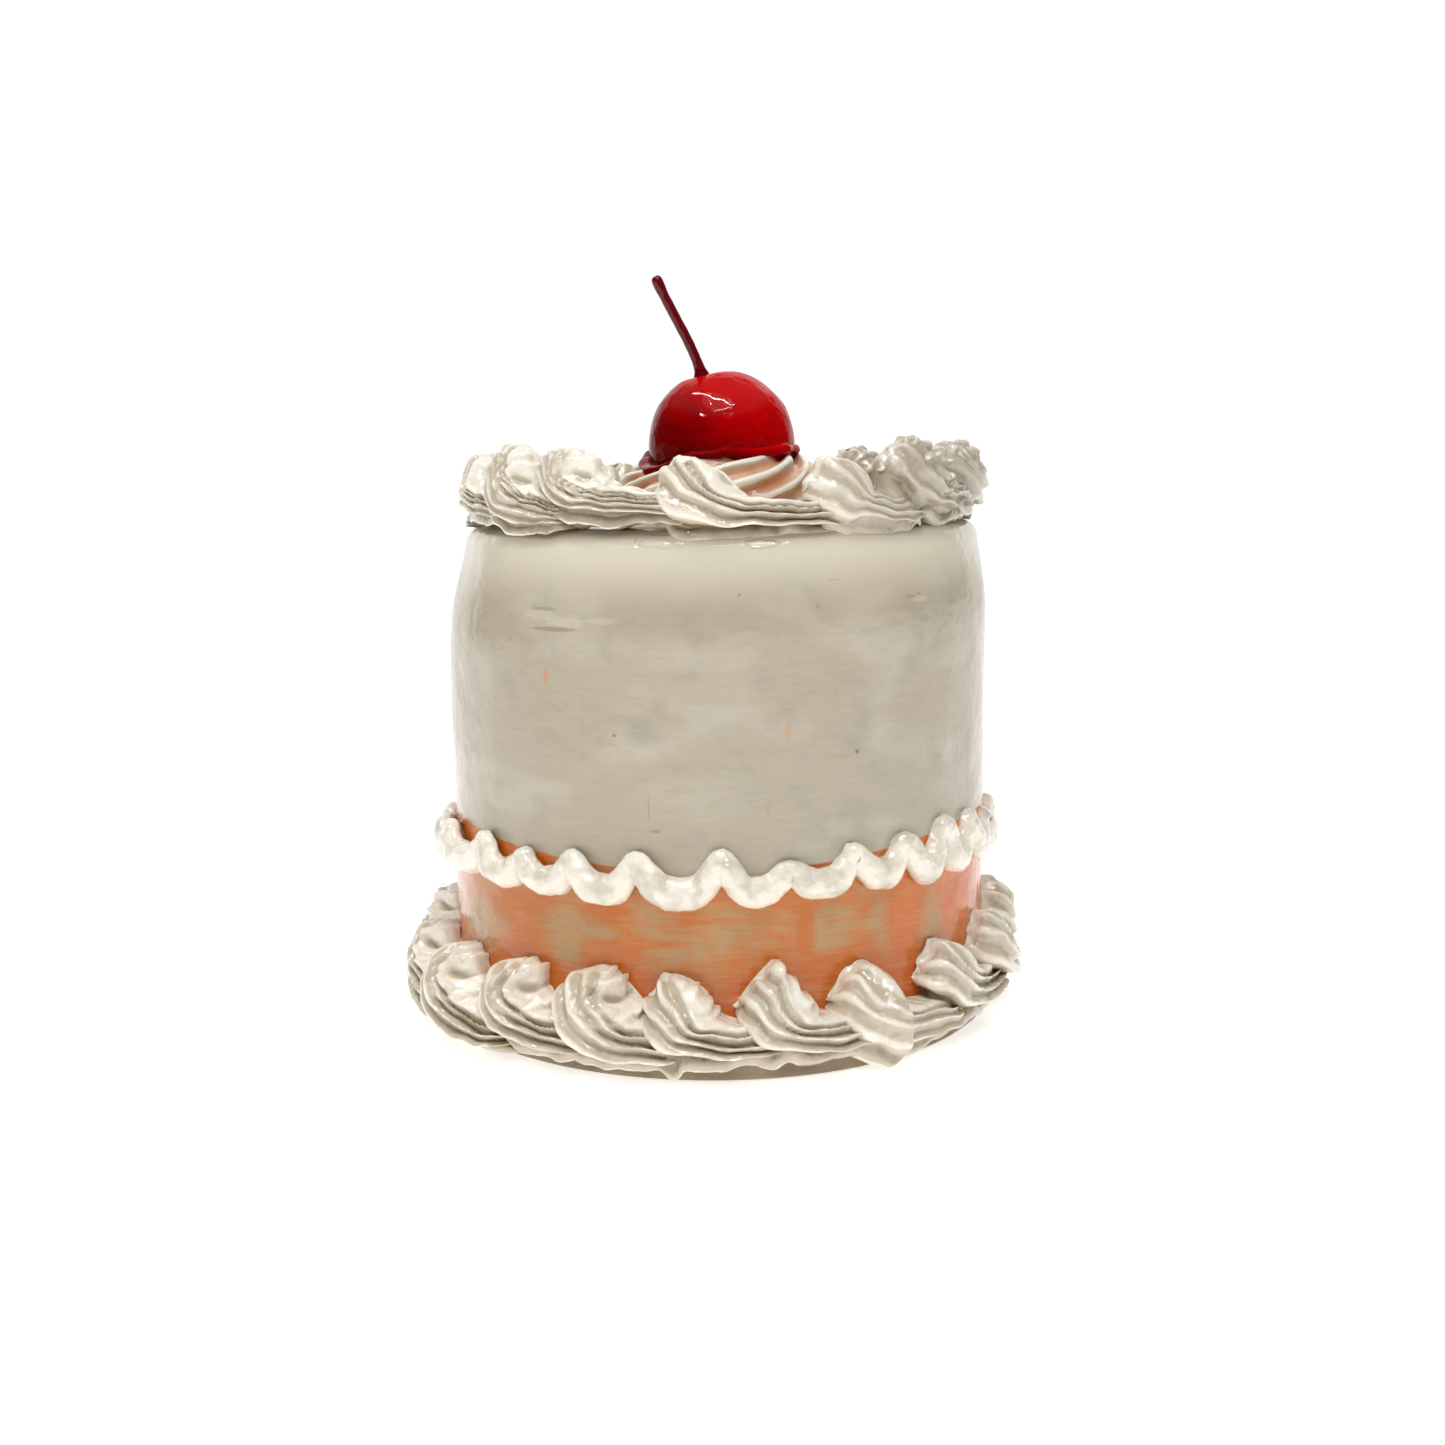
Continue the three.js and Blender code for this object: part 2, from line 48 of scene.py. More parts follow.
# The thrown body
SLAB_RADIUS = 52.6
SLAB_THICKNESS = 4
WALL_RADIUS = 50.6
BAND_TOP = 36
SHOULDER_RADIUS = 47.7
SHOULDER_HEIGHT = 89
TOP_RADIUS = 41
TOP_HEIGHT = 92
TOP_SHIFT = 1.4

# The rope over the edge of the paint: each peak's turn and height, and the height of the low point after it
ROPE_RADIUS = 2.4
ROPE_PEAKS_SEEN = [
    (-95.5, 34.6, 31.8),
    (-83, 34.8, 32.4),
    (-70, 36.6, 32.8),
    (-51.8, 37.2, 32.4),
    (-40.2, 35.9, 32.8),
    (-28.5, 36.6, 32.2),
    (-15.8, 37.3, 31.9),
    (0.6, 37.7, 32.2),
    (13.1, 35.4, 32.8),
    (26.4, 37.4, 33.0),
    (38.3, 37.8, 32.3),
    (50.2, 39.0, 32.0),
    (61, 38.6, 32.6),
]
ROPE_PEAKS_HIDDEN = 15

# The cherry, its stem and its nest
CHERRY_RADIUS = 13.8
CHERRY_CENTRE = Vector((1.4, 0, 105.7))
DIMPLE_LEAN = 13
NEST_MIDDLE = 12.8
NEST_HEIGHT = 98
SKIRT_HEIGHT = 104.4
SPILL_TURN = 300
STEM_RADIUS = 0.94
STEM_POINTS = [
    (-1.9, 0, 117),
    (-2.2, 0, 118.8),
    (-3.1, 0, 121.4),
    (-4.6, 0, 124.8),
    (-6.25, 0, 128),
    (-7.9, 0, 131.2),
    (-9.3, 0, 134),
    (-10.4, 0, 136.55),
]

# The two rings of piped strokes. Each names its strokes' middle radius, its seen eyes by turn and height,
# and the strokes that differ from a plain one. A stroke's shell goes from 0, a curl round its eye, to 1, a
# ribbed shell. Peak and hang are an along and a rise or fall, and lump is an along, a rise, two half sizes
# and a height.
PLAIN_STROKE = {
    "shell": 0, "slant": 0, "depth": 1.3, "eye": 1.5, "size": 1, "ragged": 1.15, "fine": 1, "wobble": 0.4,
    "peak": (0, 0), "hang": (0, 0), "crisp": 0.85, "drop": 1, "lump": (0, 0, 1, 1, 0),
}
RIM_LOWEST = 90.4
FOOT_RING = {
    "middle": WALL_RADIUS,
    "back": 0.1,
    "stout": 1.27,
    "left": 0.24,
    "drop": 1,
    "pit_rise": 1.4,
    "eye_height": 13.6,
    "eye_tilt": 0,
    "seen": [(-79, 11.6), (-57, 11.6), (-37.5, 13.1), (-19.5, 13.6), (-3, 14.3), (14.8, 14.3), (33, 13.4),
             (54, 14.8), (74.5, 15.6), (93, 15.6)],
    "hidden": 9,
    "across": 144,
    "along": 120,
    "looks": {
        1: {"size": 1.04},
        4: {"shell": 1, "slant": 0.38, "eye": 0.8, "ragged": 1.3, "hang": (-5.6, 0.8),
            "lump": (-5.8, -10.0, 2.3, 2.3, 1.2)},
        5: {"shell": 1, "slant": 0.42, "eye": 0.9, "peak": (-3.8, 2.6)},
        6: {"shell": 0.8, "slant": 0.4, "eye": 0, "depth": 0.7, "peak": (-3.5, 1.2), "hang": (-2.6, 1.3),
            "lump": (-2.6, -5, 2.6, 6.8, 2.0)},
        7: {"shell": 0.7, "slant": 0.3, "eye": 0, "size": 1.05},
        8: {"shell": 0.7, "slant": 0.3, "eye": 0, "size": 1.05},
        11: {"shell": 0.8, "slant": 0.3, "eye": 0.5},
        12: {"shell": 0.5, "slant": 0.1},
        15: {"shell": 1, "slant": 0.35, "eye": 0.6},
    },
}
RIM_RING = {
    "middle": 43.8,
    "back": 0.9,
    "stout": 0.72,
    "left": 0,
    "drop": 0.84,
    "pit_rise": 0,
    "eye_height": 97.8,
    "eye_tilt": 2.4,
    "seen": [(-76, 100.4), (-48, 100.4), (-31, 101.0), (0, 99.9), (32, 99.5), (52, 101.4), (76, 101.2)],
    "hidden": 8,
    "across": 132,
    "along": 116,
    "looks": {
        0: {"shell": 0.9, "slant": 0.3, "eye": 0, "fine": 1.3, "depth": 0.8, "drop": 0.9, "ragged": 0.5,
            "wobble": 0.8},
        1: {"size": 1.08, "fine": 1.6, "depth": 0.75, "eye": 0.9, "drop": 0.98, "wobble": 0.8},
        2: {"shell": 0.3, "slant": 0.1, "fine": 1.4, "depth": 0.75, "eye": 0.9, "wobble": 0.8},
        3: {"shell": 1, "slant": 0.35, "eye": 0.2, "wobble": 0.7},
        4: {"shell": 1, "slant": 0.4, "eye": 0, "depth": 0.45, "ragged": 1.4, "wobble": 1.0},
        5: {"shell": 0.2, "size": 1.04, "depth": 0.85, "wobble": 1.0},
        6: {"shell": 0.5, "depth": 0.85, "wobble": 1.0},
        10: {"shell": 1, "slant": 0.35, "eye": 0.5},
        13: {"shell": 0.8, "slant": 0.3, "eye": 0.3, "drop": 0.75},
        14: {"drop": 0.65, "ragged": 0.4},
    },
}

# Stations along a stroke of size 1, measured from its eye in millimetres along the ring and up. Each gives
# the ends of the smooth slope behind the eye, the outer edge under the ribs, how far the ribbed face bows
# away from the straight line between them, and how far it stands out. The rope comes over the crown, sweeps
# down and runs out as the tail.
CURLED = [
    ((4.6, -1.7), (-1.1, 4.5), (-10.2, -0.2), 2.3, 0),
    ((5.2, -1.6), (-1.2, 4.6), (-10.8, -0.2), 2.3, 2.9),
    ((5.5, -2.2), (-1.2, 2.8), (-10.7, -2.7), 2.6, 5.4),
    ((5.6, -2.7), (-0.5, 0.0), (-9.4, -6.4), 2.7, 6.9),
    ((6.0, -2.8), (1.4, -1.6), (-6.2, -9.9), 1.8, 7.3),
    ((6.8, -3.2), (4.0, -2.6), (0.4, -11.0), 0.3, 7.1),
    ((8.8, -3.5), (7.8, -3.4), (6.8, -10.7), 0, 6.7),
    ((12.2, -4.4), (11.8, -4.4), (12.0, -10.2), 0, 5.8),
    ((14.8, -6.2), (14.6, -6.3), (15.0, -9.0), 0, 0),
]
SHELLED = [
    ((1.4, -1.9), (-0.9, 1.4), (-10.4, -1.0), 3.8, 0),
    ((1.8, -1.8), (-0.8, 1.5), (-11.0, -1.0), 3.8, 3.2),
    ((2.4, -2.4), (-0.5, 0.2), (-10.9, -3.8), 3.2, 5.5),
    ((3.0, -3.2), (0.2, -2.2), (-10.0, -7.8), 2.8, 7.1),
    ((4.2, -3.6), (1.8, -3.3), (-7.4, -10.7), 2.0, 7.6),
    ((6.2, -4.0), (4.4, -4.0), (-0.8, -11.5), 0.8, 7.3),
    ((8.8, -4.2), (8.0, -4.2), (6.4, -11.0), 0, 6.8),
    ((12.4, -4.9), (12.0, -4.9), (12.0, -10.3), 0, 5.8),
    ((14.8, -6.4), (14.6, -6.5), (15.0, -9.0), 0, 0),
]
STATION_REACH = 16.5
HEAD_SHARE = 0.55

# Shares across the ribbed face where the crests of the four ribs and of the lip under them lie
CRESTS_HEAD = [0.02, 0.27, 0.55, 0.85, 1.25]
CRESTS_TAIL = [0, 0.14, 0.32, 0.59, 0.95]

# The eye's middle and pit radius, the radii of the two rolls of clay round it, and the way that it opens
EYE_MIDDLE = 0.6
EYE_RADIUS = 0.95
EYE_ROLLS = (2.2, 4.4)
EYE_OPEN = Vector((0.93, -0.37))


def around(turn, radius, height):
    """The point at a turn, a radius from the middle and a height."""
    angle = math.radians(turn)
    return Vector((radius * math.sin(angle), -radius * math.cos(angle), height))


def leaned(point):
    """The top of the cake leans a little to +X."""
    return point + Vector((TOP_SHIFT * ease(66, TOP_HEIGHT, point.z), 0, 0))


def ease(low, high, value):
    """A smooth step from 0 at low to 1 at high."""
    share = min(1, max(0, (value - low) / (high - low)))
    return share * share * (3 - 2 * share)


def hills(point, size, seed=0):
    """Smooth unevenness from -1 to 1, with bumps about as wide as size."""
    return noise.noise(Vector(point) / size + Vector((seed * 7.3, seed * 3.1, seed * 5.7)))


def through(rows, share):
    """The values that a smooth curve through evenly spaced rows of values has at a share of its length."""
    spot = share * (len(rows) - 1)
    first = min(int(spot), len(rows) - 2)
    t = spot - first
    before, start = rows[max(0, first - 1)], rows[first]
    end, after = rows[first + 1], rows[min(len(rows) - 1, first + 2)]
    return [
        b + 0.5 * t * (c - a + t * (2 * a - 5 * b + 4 * c - d + t * (3 * (b - c) + d - a)))
        for a, b, c, d in zip(before, start, end, after)
    ]


def finished(name, form):
    """An object that holds the form in metres, its surface smooth but for its corners."""
    mesh = bpy.data.meshes.new(name)
    bmesh.ops.scale(form, vec=(MM, MM, MM), verts=form.verts)
    form.to_mesh(mesh)
    form.free()
    mesh.shade_smooth()
    mesh.set_sharp_from_angle(angle=math.radians(75))
    piece = bpy.data.objects.new(name, mesh)
    bpy.context.scene.collection.objects.link(piece)
    return piece


def rolled(name, across, along, place):
    """A sheet of clay of across by along faces, rolled into a closed form.

    place gives the point, the relief to raise there and the depth of the groove, from the shares u across and
    v along.
    """
    form = bmesh.new()
    relief = form.verts.layers.float.new("relief")
    groove = form.verts.layers.float.new("groove")
    bmesh.ops.create_grid(form, x_segments=across, y_segments=along, size=0.5)
    for corner in form.verts:
        corner.co, corner[relief], corner[groove] = place(corner.co.x + 0.5, corner.co.y + 0.5)
    bmesh.ops.remove_doubles(form, verts=form.verts, dist=1e-4)
    bmesh.ops.dissolve_degenerate(form, edges=form.edges, dist=1e-5)
    bmesh.ops.recalc_face_normals(form, faces=form.faces)
    form.normal_update()
    for corner in form.verts:
        corner.co += corner.normal * corner[relief]
    form.verts.layers.float.remove(relief)
    return finished(name, form)


# The finishes

class Value:
    """A number, vector or colour in a finish. Arithmetic on numbers adds their Math nodes."""

    def __init__(self, finish, socket):
        self.finish = finish
        self.socket = socket

    def maths(self, operation, *values):
        sockets = dict(enumerate(values))
        return self.finish.node("ShaderNodeMath", {"operation": operation}, sockets)

    def __add__(self, other):
        return self.maths("ADD", self, other)

    def __radd__(self, other):
        return self.maths("ADD", other, self)

    def __sub__(self, other):
        return self.maths("SUBTRACT", self, other)

    def __rsub__(self, other):
        return self.maths("SUBTRACT", other, self)

    def __mul__(self, other):
        return self.maths("MULTIPLY", self, other)

    def __rmul__(self, other):
        return self.maths("MULTIPLY", other, self)


class Finish:
    """A material and its nodes."""

    def __init__(self, name, **constants):
        self.material = bpy.data.materials.new(name)
        self.material.use_nodes = True
        self.tree = self.material.node_tree
        self.shader = self.tree.nodes["Principled BSDF"]
        for socket, value in constants.items():
            self.shader.inputs[socket.replace("_", " ")].default_value = value
        self.place = self.node("ShaderNodeTexCoord", {}, {}, "Object")

    def node(self, kind, settings, sockets, output=0):
        """One output of a new node. Its settings come first, then the values or links of its sockets."""
        made = self.tree.nodes.new(kind)
        for name, setting in settings.items():
            setattr(made, name, setting)
        for name, value in sockets.items():
            if isinstance(value, Value):
                self.tree.links.new(value.socket, made.inputs[name])
            else:
                made.inputs[name].default_value = value
        return Value(self, made.outputs[output])

    def attribute(self, name):
        return self.node("ShaderNodeAttribute", {"attribute_name": name}, {}, "Fac")

    def axis(self, name):
        """Object X, Y or Z in millimetres."""
        return self.node("ShaderNodeSeparateXYZ", {}, {0: self.place}, name) * 1000

    def cloud(self, size, seed=0, detail=2, rough=0.5, stretch=(1, 1, 1)):
        """Soft noise from 0 to 1 with blotches about as wide as size, longer along an axis by its stretch."""
        scale = [1000 / (size * s) for s in stretch]
        where = self.node("ShaderNodeVectorMath", {"operation": "MULTIPLY_ADD"},
                          {0: self.place, 1: scale, 2: (seed * 3.7, seed * 5.3, seed * 2.9)})
        return self.node("ShaderNodeTexNoise", {},
                         {"Vector": where, "Scale": 1, "Detail": detail, "Roughness": rough}, "Fac")

    def step(self, value, low, high):
        """A smooth step of a value, from 0 at low to 1 at high."""
        return self.node("ShaderNodeMapRange", {"interpolation_type": "SMOOTHSTEP"},
                         {"Value": value, "From Min": low, "From Max": high})

    def mix(self, share, first, second):
        """A blend of two colours, from the first at 0 to the second at 1."""
        first, second = [c if isinstance(c, Value) else (*c, 1) for c in (first, second)]
        return self.node("ShaderNodeMix", {"data_type": "RGBA"}, {0: share, 6: first, 7: second}, 2)

    def specks(self, size, radius, share, seed=0):
        """Round dots of a radius in millimetres, one in some of the cells of a size: 1 inside a dot."""
        where = self.node("ShaderNodeVectorMath", {"operation": "MULTIPLY_ADD"},
                          {0: self.place, 1: [1000 / size] * 3, 2: (seed * 1.7, seed * 4.1, seed * 2.3)})
        cell = {"Vector": where, "Scale": 1, "Randomness": 1}
        reach = self.node("ShaderNodeTexVoronoi", {}, cell, "Distance")
        colour = self.node("ShaderNodeTexVoronoi", {}, cell, "Color")
        draw = self.node("ShaderNodeSeparateXYZ", {}, {0: colour}, "X")
        dot = self.step(reach, radius / size, 0.5 * radius / size)
        return dot * draw.maths("LESS_THAN", draw, share)

    def bump(self, height, depth):
        """Relief of a depth in millimetres."""
        return self.node("ShaderNodeBump", {}, {"Height": height, "Distance": depth * MM, "Strength": 1})

    def set(self, socket, value):
        self.tree.links.new(value.socket, self.shader.inputs[socket])

    def coat(self, piece):
        piece.data.materials.clear()
        piece.data.materials.append(self.material)


# The world's strength in front of the cake, over it, behind it and as the camera sees it, then the sun's and
# the floor's own
FRONT_LIGHT = 0.14
TOP_LIGHT = 0.12
REAR_LIGHT = 1.15
BACKDROP_LIGHT = 1.1
SUN_POWER = 0.2
FLOOR_GLOW = 0.62

# Glaze colours, in linear light
CREAM = (0.437, 0.389, 0.296)
CREAM_WARM = (0.446, 0.38, 0.282)
CREAM_PALE = (0.503, 0.451, 0.351)
CREAM_DULL = (0.394, 0.353, 0.271)
CREAM_PINK = (0.456, 0.375, 0.29)
CREAM_SHADE = (0.35, 0.30, 0.222)
# Pale cream, for pale marks in the glaze and for the painted light at the top of the wall
CREAM_PALE_MARK_AND_PAINTED_LIGHT = (0.68, 0.62, 0.49)
SHELL = (0.59, 0.51, 0.385)
# Ridge colour: glaze that breaks pale over ridges, and painted highlight along the crests
CREST_PALE_AND_PAINTED_HIGHLIGHT = (0.92, 0.86, 0.74)
# Groove colour: glaze pooled brown in grooves, and painted shade there
GROOVE_POOL_AND_PAINTED_SHADE = (0.22, 0.16, 0.078)
ROPE = (0.90, 0.83, 0.71)
CORAL = (0.57, 0.15, 0.014)
CORAL_DEEP = (0.56, 0.112, 0.004)
CORAL_PINK = (0.64, 0.16, 0.034)
CORAL_BROWN = (0.31, 0.12, 0.022)
BARE = (0.46, 0.29, 0.122)
BARE_DARK = (0.36, 0.19, 0.065)
CORAL_PALE = (0.60, 0.27, 0.095)
PEACH = (0.66, 0.29, 0.15)
PEACH_PALE = (0.68, 0.40, 0.26)
CLAY = (0.36, 0.285, 0.19)
CLAY_DARK = (0.25, 0.19, 0.12)
CHERRY = (0.52, 0.0, 0.001)
# The cherry's darker red, for painted shade on its lower left
CHERRY_PAINTED_SHADE = (0.17, 0.0, 0.0)
STEM = (0.12, 0.0, 0.002)
SPECK = (0.16, 0.13, 0.10)
SMUDGE = (0.58, 0.27, 0.12)

# Marks in the wall's glaze: turn, height, half width and half height in millimetres, colour and strength
WALL_MARKS = [
    (-34.6, 67.7, 0.5, 1.5, SMUDGE, 0.75),
    (13.2, 58.9, 0.7, 1.3, SMUDGE, 0.4),
    (9.2, 46.1, 0.25, 1.3, SMUDGE, 0.5),
    (-36, 77.8, 2.8, 1.0, CREAM_PALE_MARK_AND_PAINTED_LIGHT, 0.35),
    (-30, 76.8, 3.4, 1.1, CREAM_PALE_MARK_AND_PAINTED_LIGHT, 0.35),
    (-22, 77.2, 2.4, 0.6, CREAM_PALE_MARK_AND_PAINTED_LIGHT, 0.3),
    (-33, 75.6, 4.8, 0.45, CREAM_SHADE, 0.9),
    (-35, 78.9, 2.2, 0.3, CREAM_SHADE, 0.8),
    (43.5, 79.2, 1.5, 0.6, CREAM_PALE_MARK_AND_PAINTED_LIGHT, 0.35),
    (40.6, 79.8, 1.0, 0.25, CREAM_SHADE, 0.8),
    (0, 71.5, 7.5, 2.6, CREAM_PALE, 0.6),
    (-13.3, 46.4, 0.14, 2.6, CREAM_SHADE, 0.7),
    (-26.5, 60, 0.12, 7, CREAM_SHADE, 0.35),
    (27.3, 54.6, 0.4, 0.4, SPECK, 0.7),
    (-19.8, 58.3, 0.3, 0.3, SPECK, 0.7),
    (4.3, 81.5, 0.25, 0.25, SPECK, 0.7),
    (22.6, 83.4, 1.1, 0.16, SPECK, 0.6),
    (42.8, 80.1, 0.5, 0.14, SPECK, 0.6),
    (-12, 42.5, 0.9, 0.3, SPECK, 0.4),
]

# Drops of glaze that ran together under the rim: turn, height, half width and half height
GLAZE_DROPS = [
    (-9.5, 90, 4.6, 1.1),
    (9, 89.6, 3.2, 0.7),
]

# Where the brush left the band bare (share below 0) or laid it thick (above 0): turn, height, half width,
# half height and share
BAND_MARKS = [
    (-55.8, 20.5, 4.0, 4.2, -1),
    (-33, 22.8, 4.4, 4.6, -1),
    (-23, 24, 3.4, 1.3, -0.9),
    (-13.5, 26.5, 3.8, 3.2, -1),
    (-5, 21.8, 6.5, 1.6, -0.7),
    (4, 25.6, 8, 3.4, -0.9),
    (22.1, 24.4, 4.0, 4.0, -1),
    (32.3, 23, 2.2, 5.2, -0.8),
    (47.4, 24, 1.9, 3.6, -0.7),
    (-44, 24, 5.2, 7, 0.8),
    (-22.5, 28, 4.2, 1.8, 1),
    (-14, 22.9, 6, 0.8, 0.9),
    (-1, 27.2, 4.5, 0.7, 0.7),
    (16.6, 24.5, 1.5, 4.4, 0.8),
    (26.5, 18.5, 3.6, 2.2, 1),
    (40.1, 25, 3.6, 5, 1),
    (3.6, 21.5, 2.0, 2.2, 0.6),
    (59, 24, 4.5, 7, 0.8),
]


def wall_finish():
    """Cream glaze over a coral foot band, whose brush marks let the clay show through, and painted light that
    makes the cream paler towards the top.
    """
    f = Finish("brushed wall glaze", Roughness=0.14, Specular_IOR_Level=0.42)
    x, y, z = f.axis("X"), f.axis("Y"), f.axis("Z")
    front = f.step(y, 0, -1)
    warp = 2.6 * (f.cloud(1.4, 15, 3, 0.6) - 0.5) + 3.2 * (f.cloud(4, 16) - 0.5)

    def spot_near(turn, height, wide, tall, low, high):
        """1 inside an oval on the front wall, whose ragged edge fades from low to high."""
        off = (x - around(turn, WALL_RADIUS, height).x) * (1 / wide)
        rise = (z - height) * (1 / tall)
        return f.step(off * off + rise * rise + warp * 0.5, high, low) * front

    cream = f.mix(f.step(f.cloud(26, 1), 0.35, 0.65), CREAM, CREAM_WARM)
    cream = f.mix(f.step(f.cloud(13, 2, stretch=(1.6, 1.6, 0.7)), 0.48, 0.7), cream, CREAM_PALE)
    cream = f.mix(f.step(f.cloud(9, 11, 3), 0.5, 0.75), cream, CREAM_DULL)
    cream = f.mix(f.step(f.cloud(4, 17, 3), 0.56, 0.8) * 0.5, cream, CREAM_PINK)
    cream = f.mix(f.step(f.cloud(1.0, 12, 4, 0.75, (6, 6, 0.6)), 0.45, 0.75) * 0.4, cream, CREAM_PALE)
    cream = f.mix(f.step(f.cloud(1.0, 18, 4, 0.75, (5, 5, 0.7)), 0.5, 0.8) * 0.4, cream, CREAM_SHADE)
    for turn, height, wide, tall, colour, strength in WALL_MARKS:
        cream = f.mix(spot_near(turn, height, wide, tall, 0.3, 1.3) * strength, cream, colour)
    # Painted light: the cream grows paler from 78 to 89 mm, towards the top of the wall
    cream = f.mix(f.step(z, 78, 89), cream, CREAM_PALE_MARK_AND_PAINTED_LIGHT)
    cream = f.mix(f.specks(7, 0.3, 0.4) * 0.5, cream, SPECK)
    cream = f.mix(f.specks(3.2, 0.16, 0.35, 3) * 0.4, cream, SPECK)
    cream = f.mix(f.specks(1.7, 0.12, 0.3, 5) * 0.25, cream, SPECK)
    patch = f.cloud(13, 6, 2, 0.5, (1, 1, 1.3))
    streak = f.cloud(1.3, 5, 4, 0.75, (6, 6, 0.45))
    scratch = f.cloud(0.9, 13, 3, 0.7, (0.6, 0.6, 5)) * f.step(f.cloud(11, 14), 0.42, 0.6)
    low = f.step(z, 23, 13)
    high = f.step(z, 29, 35)
    amount = 0.22 + 0.5 * patch + 0.10 * low + 0.08 * high
    for turn, height, wide, tall, share in BAND_MARKS:
        amount = amount + spot_near(turn, height, wide, tall, 0, 2.2) * (0.2 * share)
    amount = amount + 0.6 * (streak - 0.5) + 0.24 * (scratch - 0.2)
    paint = f.step(amount, 0.22, 0.62)
    coral = f.mix(f.step(x, 22, 44), CORAL, CORAL_PINK)
    coral = f.mix(f.step(0.8 * low + 0.5 * high + 0.8 * (streak - 0.3), 0.3, 0.9), coral, CORAL_DEEP)
    coral = f.mix(f.step(f.cloud(3, 19, 3, 0.6, (2.5, 2.5, 0.7)), 0.6, 0.8) * high, coral, CORAL_BROWN)
    upright = f.step(f.cloud(9, 23), 0.45, 0.6)
    dashes = f.step(f.cloud(0.8, 20, 3, 0.7, (5, 5, 0.8)), 0.45, 0.75)
    bare = f.mix(dashes * 0.7 * (1 - upright), BARE, BARE_DARK)
    dashes = f.step(f.cloud(1.6, 21, 3, 0.7, (0.8, 0.8, 5)), 0.45, 0.75)
    bare = f.mix(dashes * 0.4 * upright, bare, BARE_DARK)
    bare = f.mix(f.step(f.cloud(2.2, 24, 3, 0.6, (1.6, 1.6, 1)), 0.45, 0.75) * 0.5, bare, CORAL)
    coral = f.mix(f.step(f.cloud(0.8, 22, 3, 0.7, (6, 6, 0.8)), 0.55, 0.8) * 0.4, coral, CORAL_BROWN)
    coral = f.mix(f.step(f.cloud(1.5, 25, 4, 0.7, (5, 5, 0.5)), 0.48, 0.7) * 0.55, coral, CORAL_PALE)
    band = f.mix(paint, bare, coral)
    reach = (x + 1) * (1 / 15)
    line = 35.6 + 0.0016 * (x + 1) * (x + 1) - f.step(reach * reach, 1.0, 0.4) * 1.1
    line = line + 0.7 * (f.cloud(4, 7) - 0.5)
    f.set("Base Color", f.mix(f.step(z - line, 0.2, -0.15), cream, band))
    f.set("Roughness", 0.08 + 0.12 * f.cloud(9, 8))
    ripple = f.cloud(5, 9, 2) * 0.7 + f.cloud(1.4, 10, 3) * 0.14
    for turn, height, wide, tall in GLAZE_DROPS:
        ripple = ripple + spot_near(turn, height, wide, tall, 0.4, 1.2) * 0.5
    f.set("Normal", f.bump(ripple, 0.5))
    return f


def piping_finish():
    """Cream glaze that breaks pale over the ridges, with painted highlight, and pools brown in the grooves,
    with painted shade.
    """
    f = Finish("piped glaze", Roughness=0.14, Specular_IOR_Level=1.0)
    groove = f.attribute("groove") + 0.22 * (f.cloud(2.2, 1) - 0.5)
    # Pale crests: glaze broken thin over the ridges, and painted highlight
    colour = f.mix(f.step(groove, 0.0, 0.26), CREST_PALE_AND_PAINTED_HIGHLIGHT, SHELL)
    # Brown grooves: pooled glaze, and painted shade
    colour = f.mix(f.step(groove, 0.35, 1.12), colour, GROOVE_POOL_AND_PAINTED_SHADE)
    colour = f.mix(f.step(f.cloud(7, 2), 0.45, 0.75) * 0.35, colour, SHELL)
    # Painted shade: the rim strokes towards the right end are darkened
    painted_shade_right = f.step(f.axis("X"), 12, 40) * f.step(f.axis("Z"), 86, 92)
    f.set("Base Color", f.mix(painted_shade_right * 0.7, colour, CREAM_SHADE))
    f.set("Roughness", 0.02 + 0.12 * f.cloud(4, 3))
    f.set("Normal", f.bump(f.cloud(1.3, 4, 3) + 1.2 * f.cloud(2.6, 5, 1), 0.26))
    return f


def rope_finish():
    f = Finish("rope glaze", Roughness=0.12, Specular_IOR_Level=1.0)
    # Brown where the rope lies against the wall: pooled glaze, and painted shade at the joint
    pooled_and_painted_shade = f.step(f.attribute("groove"), 0.35, 1.0)
    colour = f.mix(f.step(f.cloud(4, 1), 0.4, 0.7) * 0.6, ROPE, CREAM_PALE)
    f.set("Base Color", f.mix(pooled_and_painted_shade, colour, GROOVE_POOL_AND_PAINTED_SHADE))
    f.set("Roughness", 0.03 + 0.08 * f.cloud(4, 3))
    f.set("Normal", f.bump(f.cloud(1.8, 4, 2) + 0.4 * f.cloud(0.8, 5, 2), 0.4))
    return f


def nest_finish():
    """Peach underglaze in the hollows of the nest, worn through to cream along its ridges."""
    f = Finish("peach glaze", Roughness=0.2, Specular_IOR_Level=0.5)
    groove = f.attribute("groove") + 0.3 * (f.cloud(4, 1) - 0.5)
    peach = f.mix(f.step(f.cloud(8, 2), 0.4, 0.65), PEACH_PALE, PEACH)
    colour = f.mix(f.step(groove, 0.3, 0.55), SHELL, peach)
    f.set("Base Color", f.mix(f.step(groove, 0.1, 0.3), CREST_PALE_AND_PAINTED_HIGHLIGHT, colour))
    f.set("Normal", f.bump(f.cloud(1.6, 4, 3), 0.15))
    return f


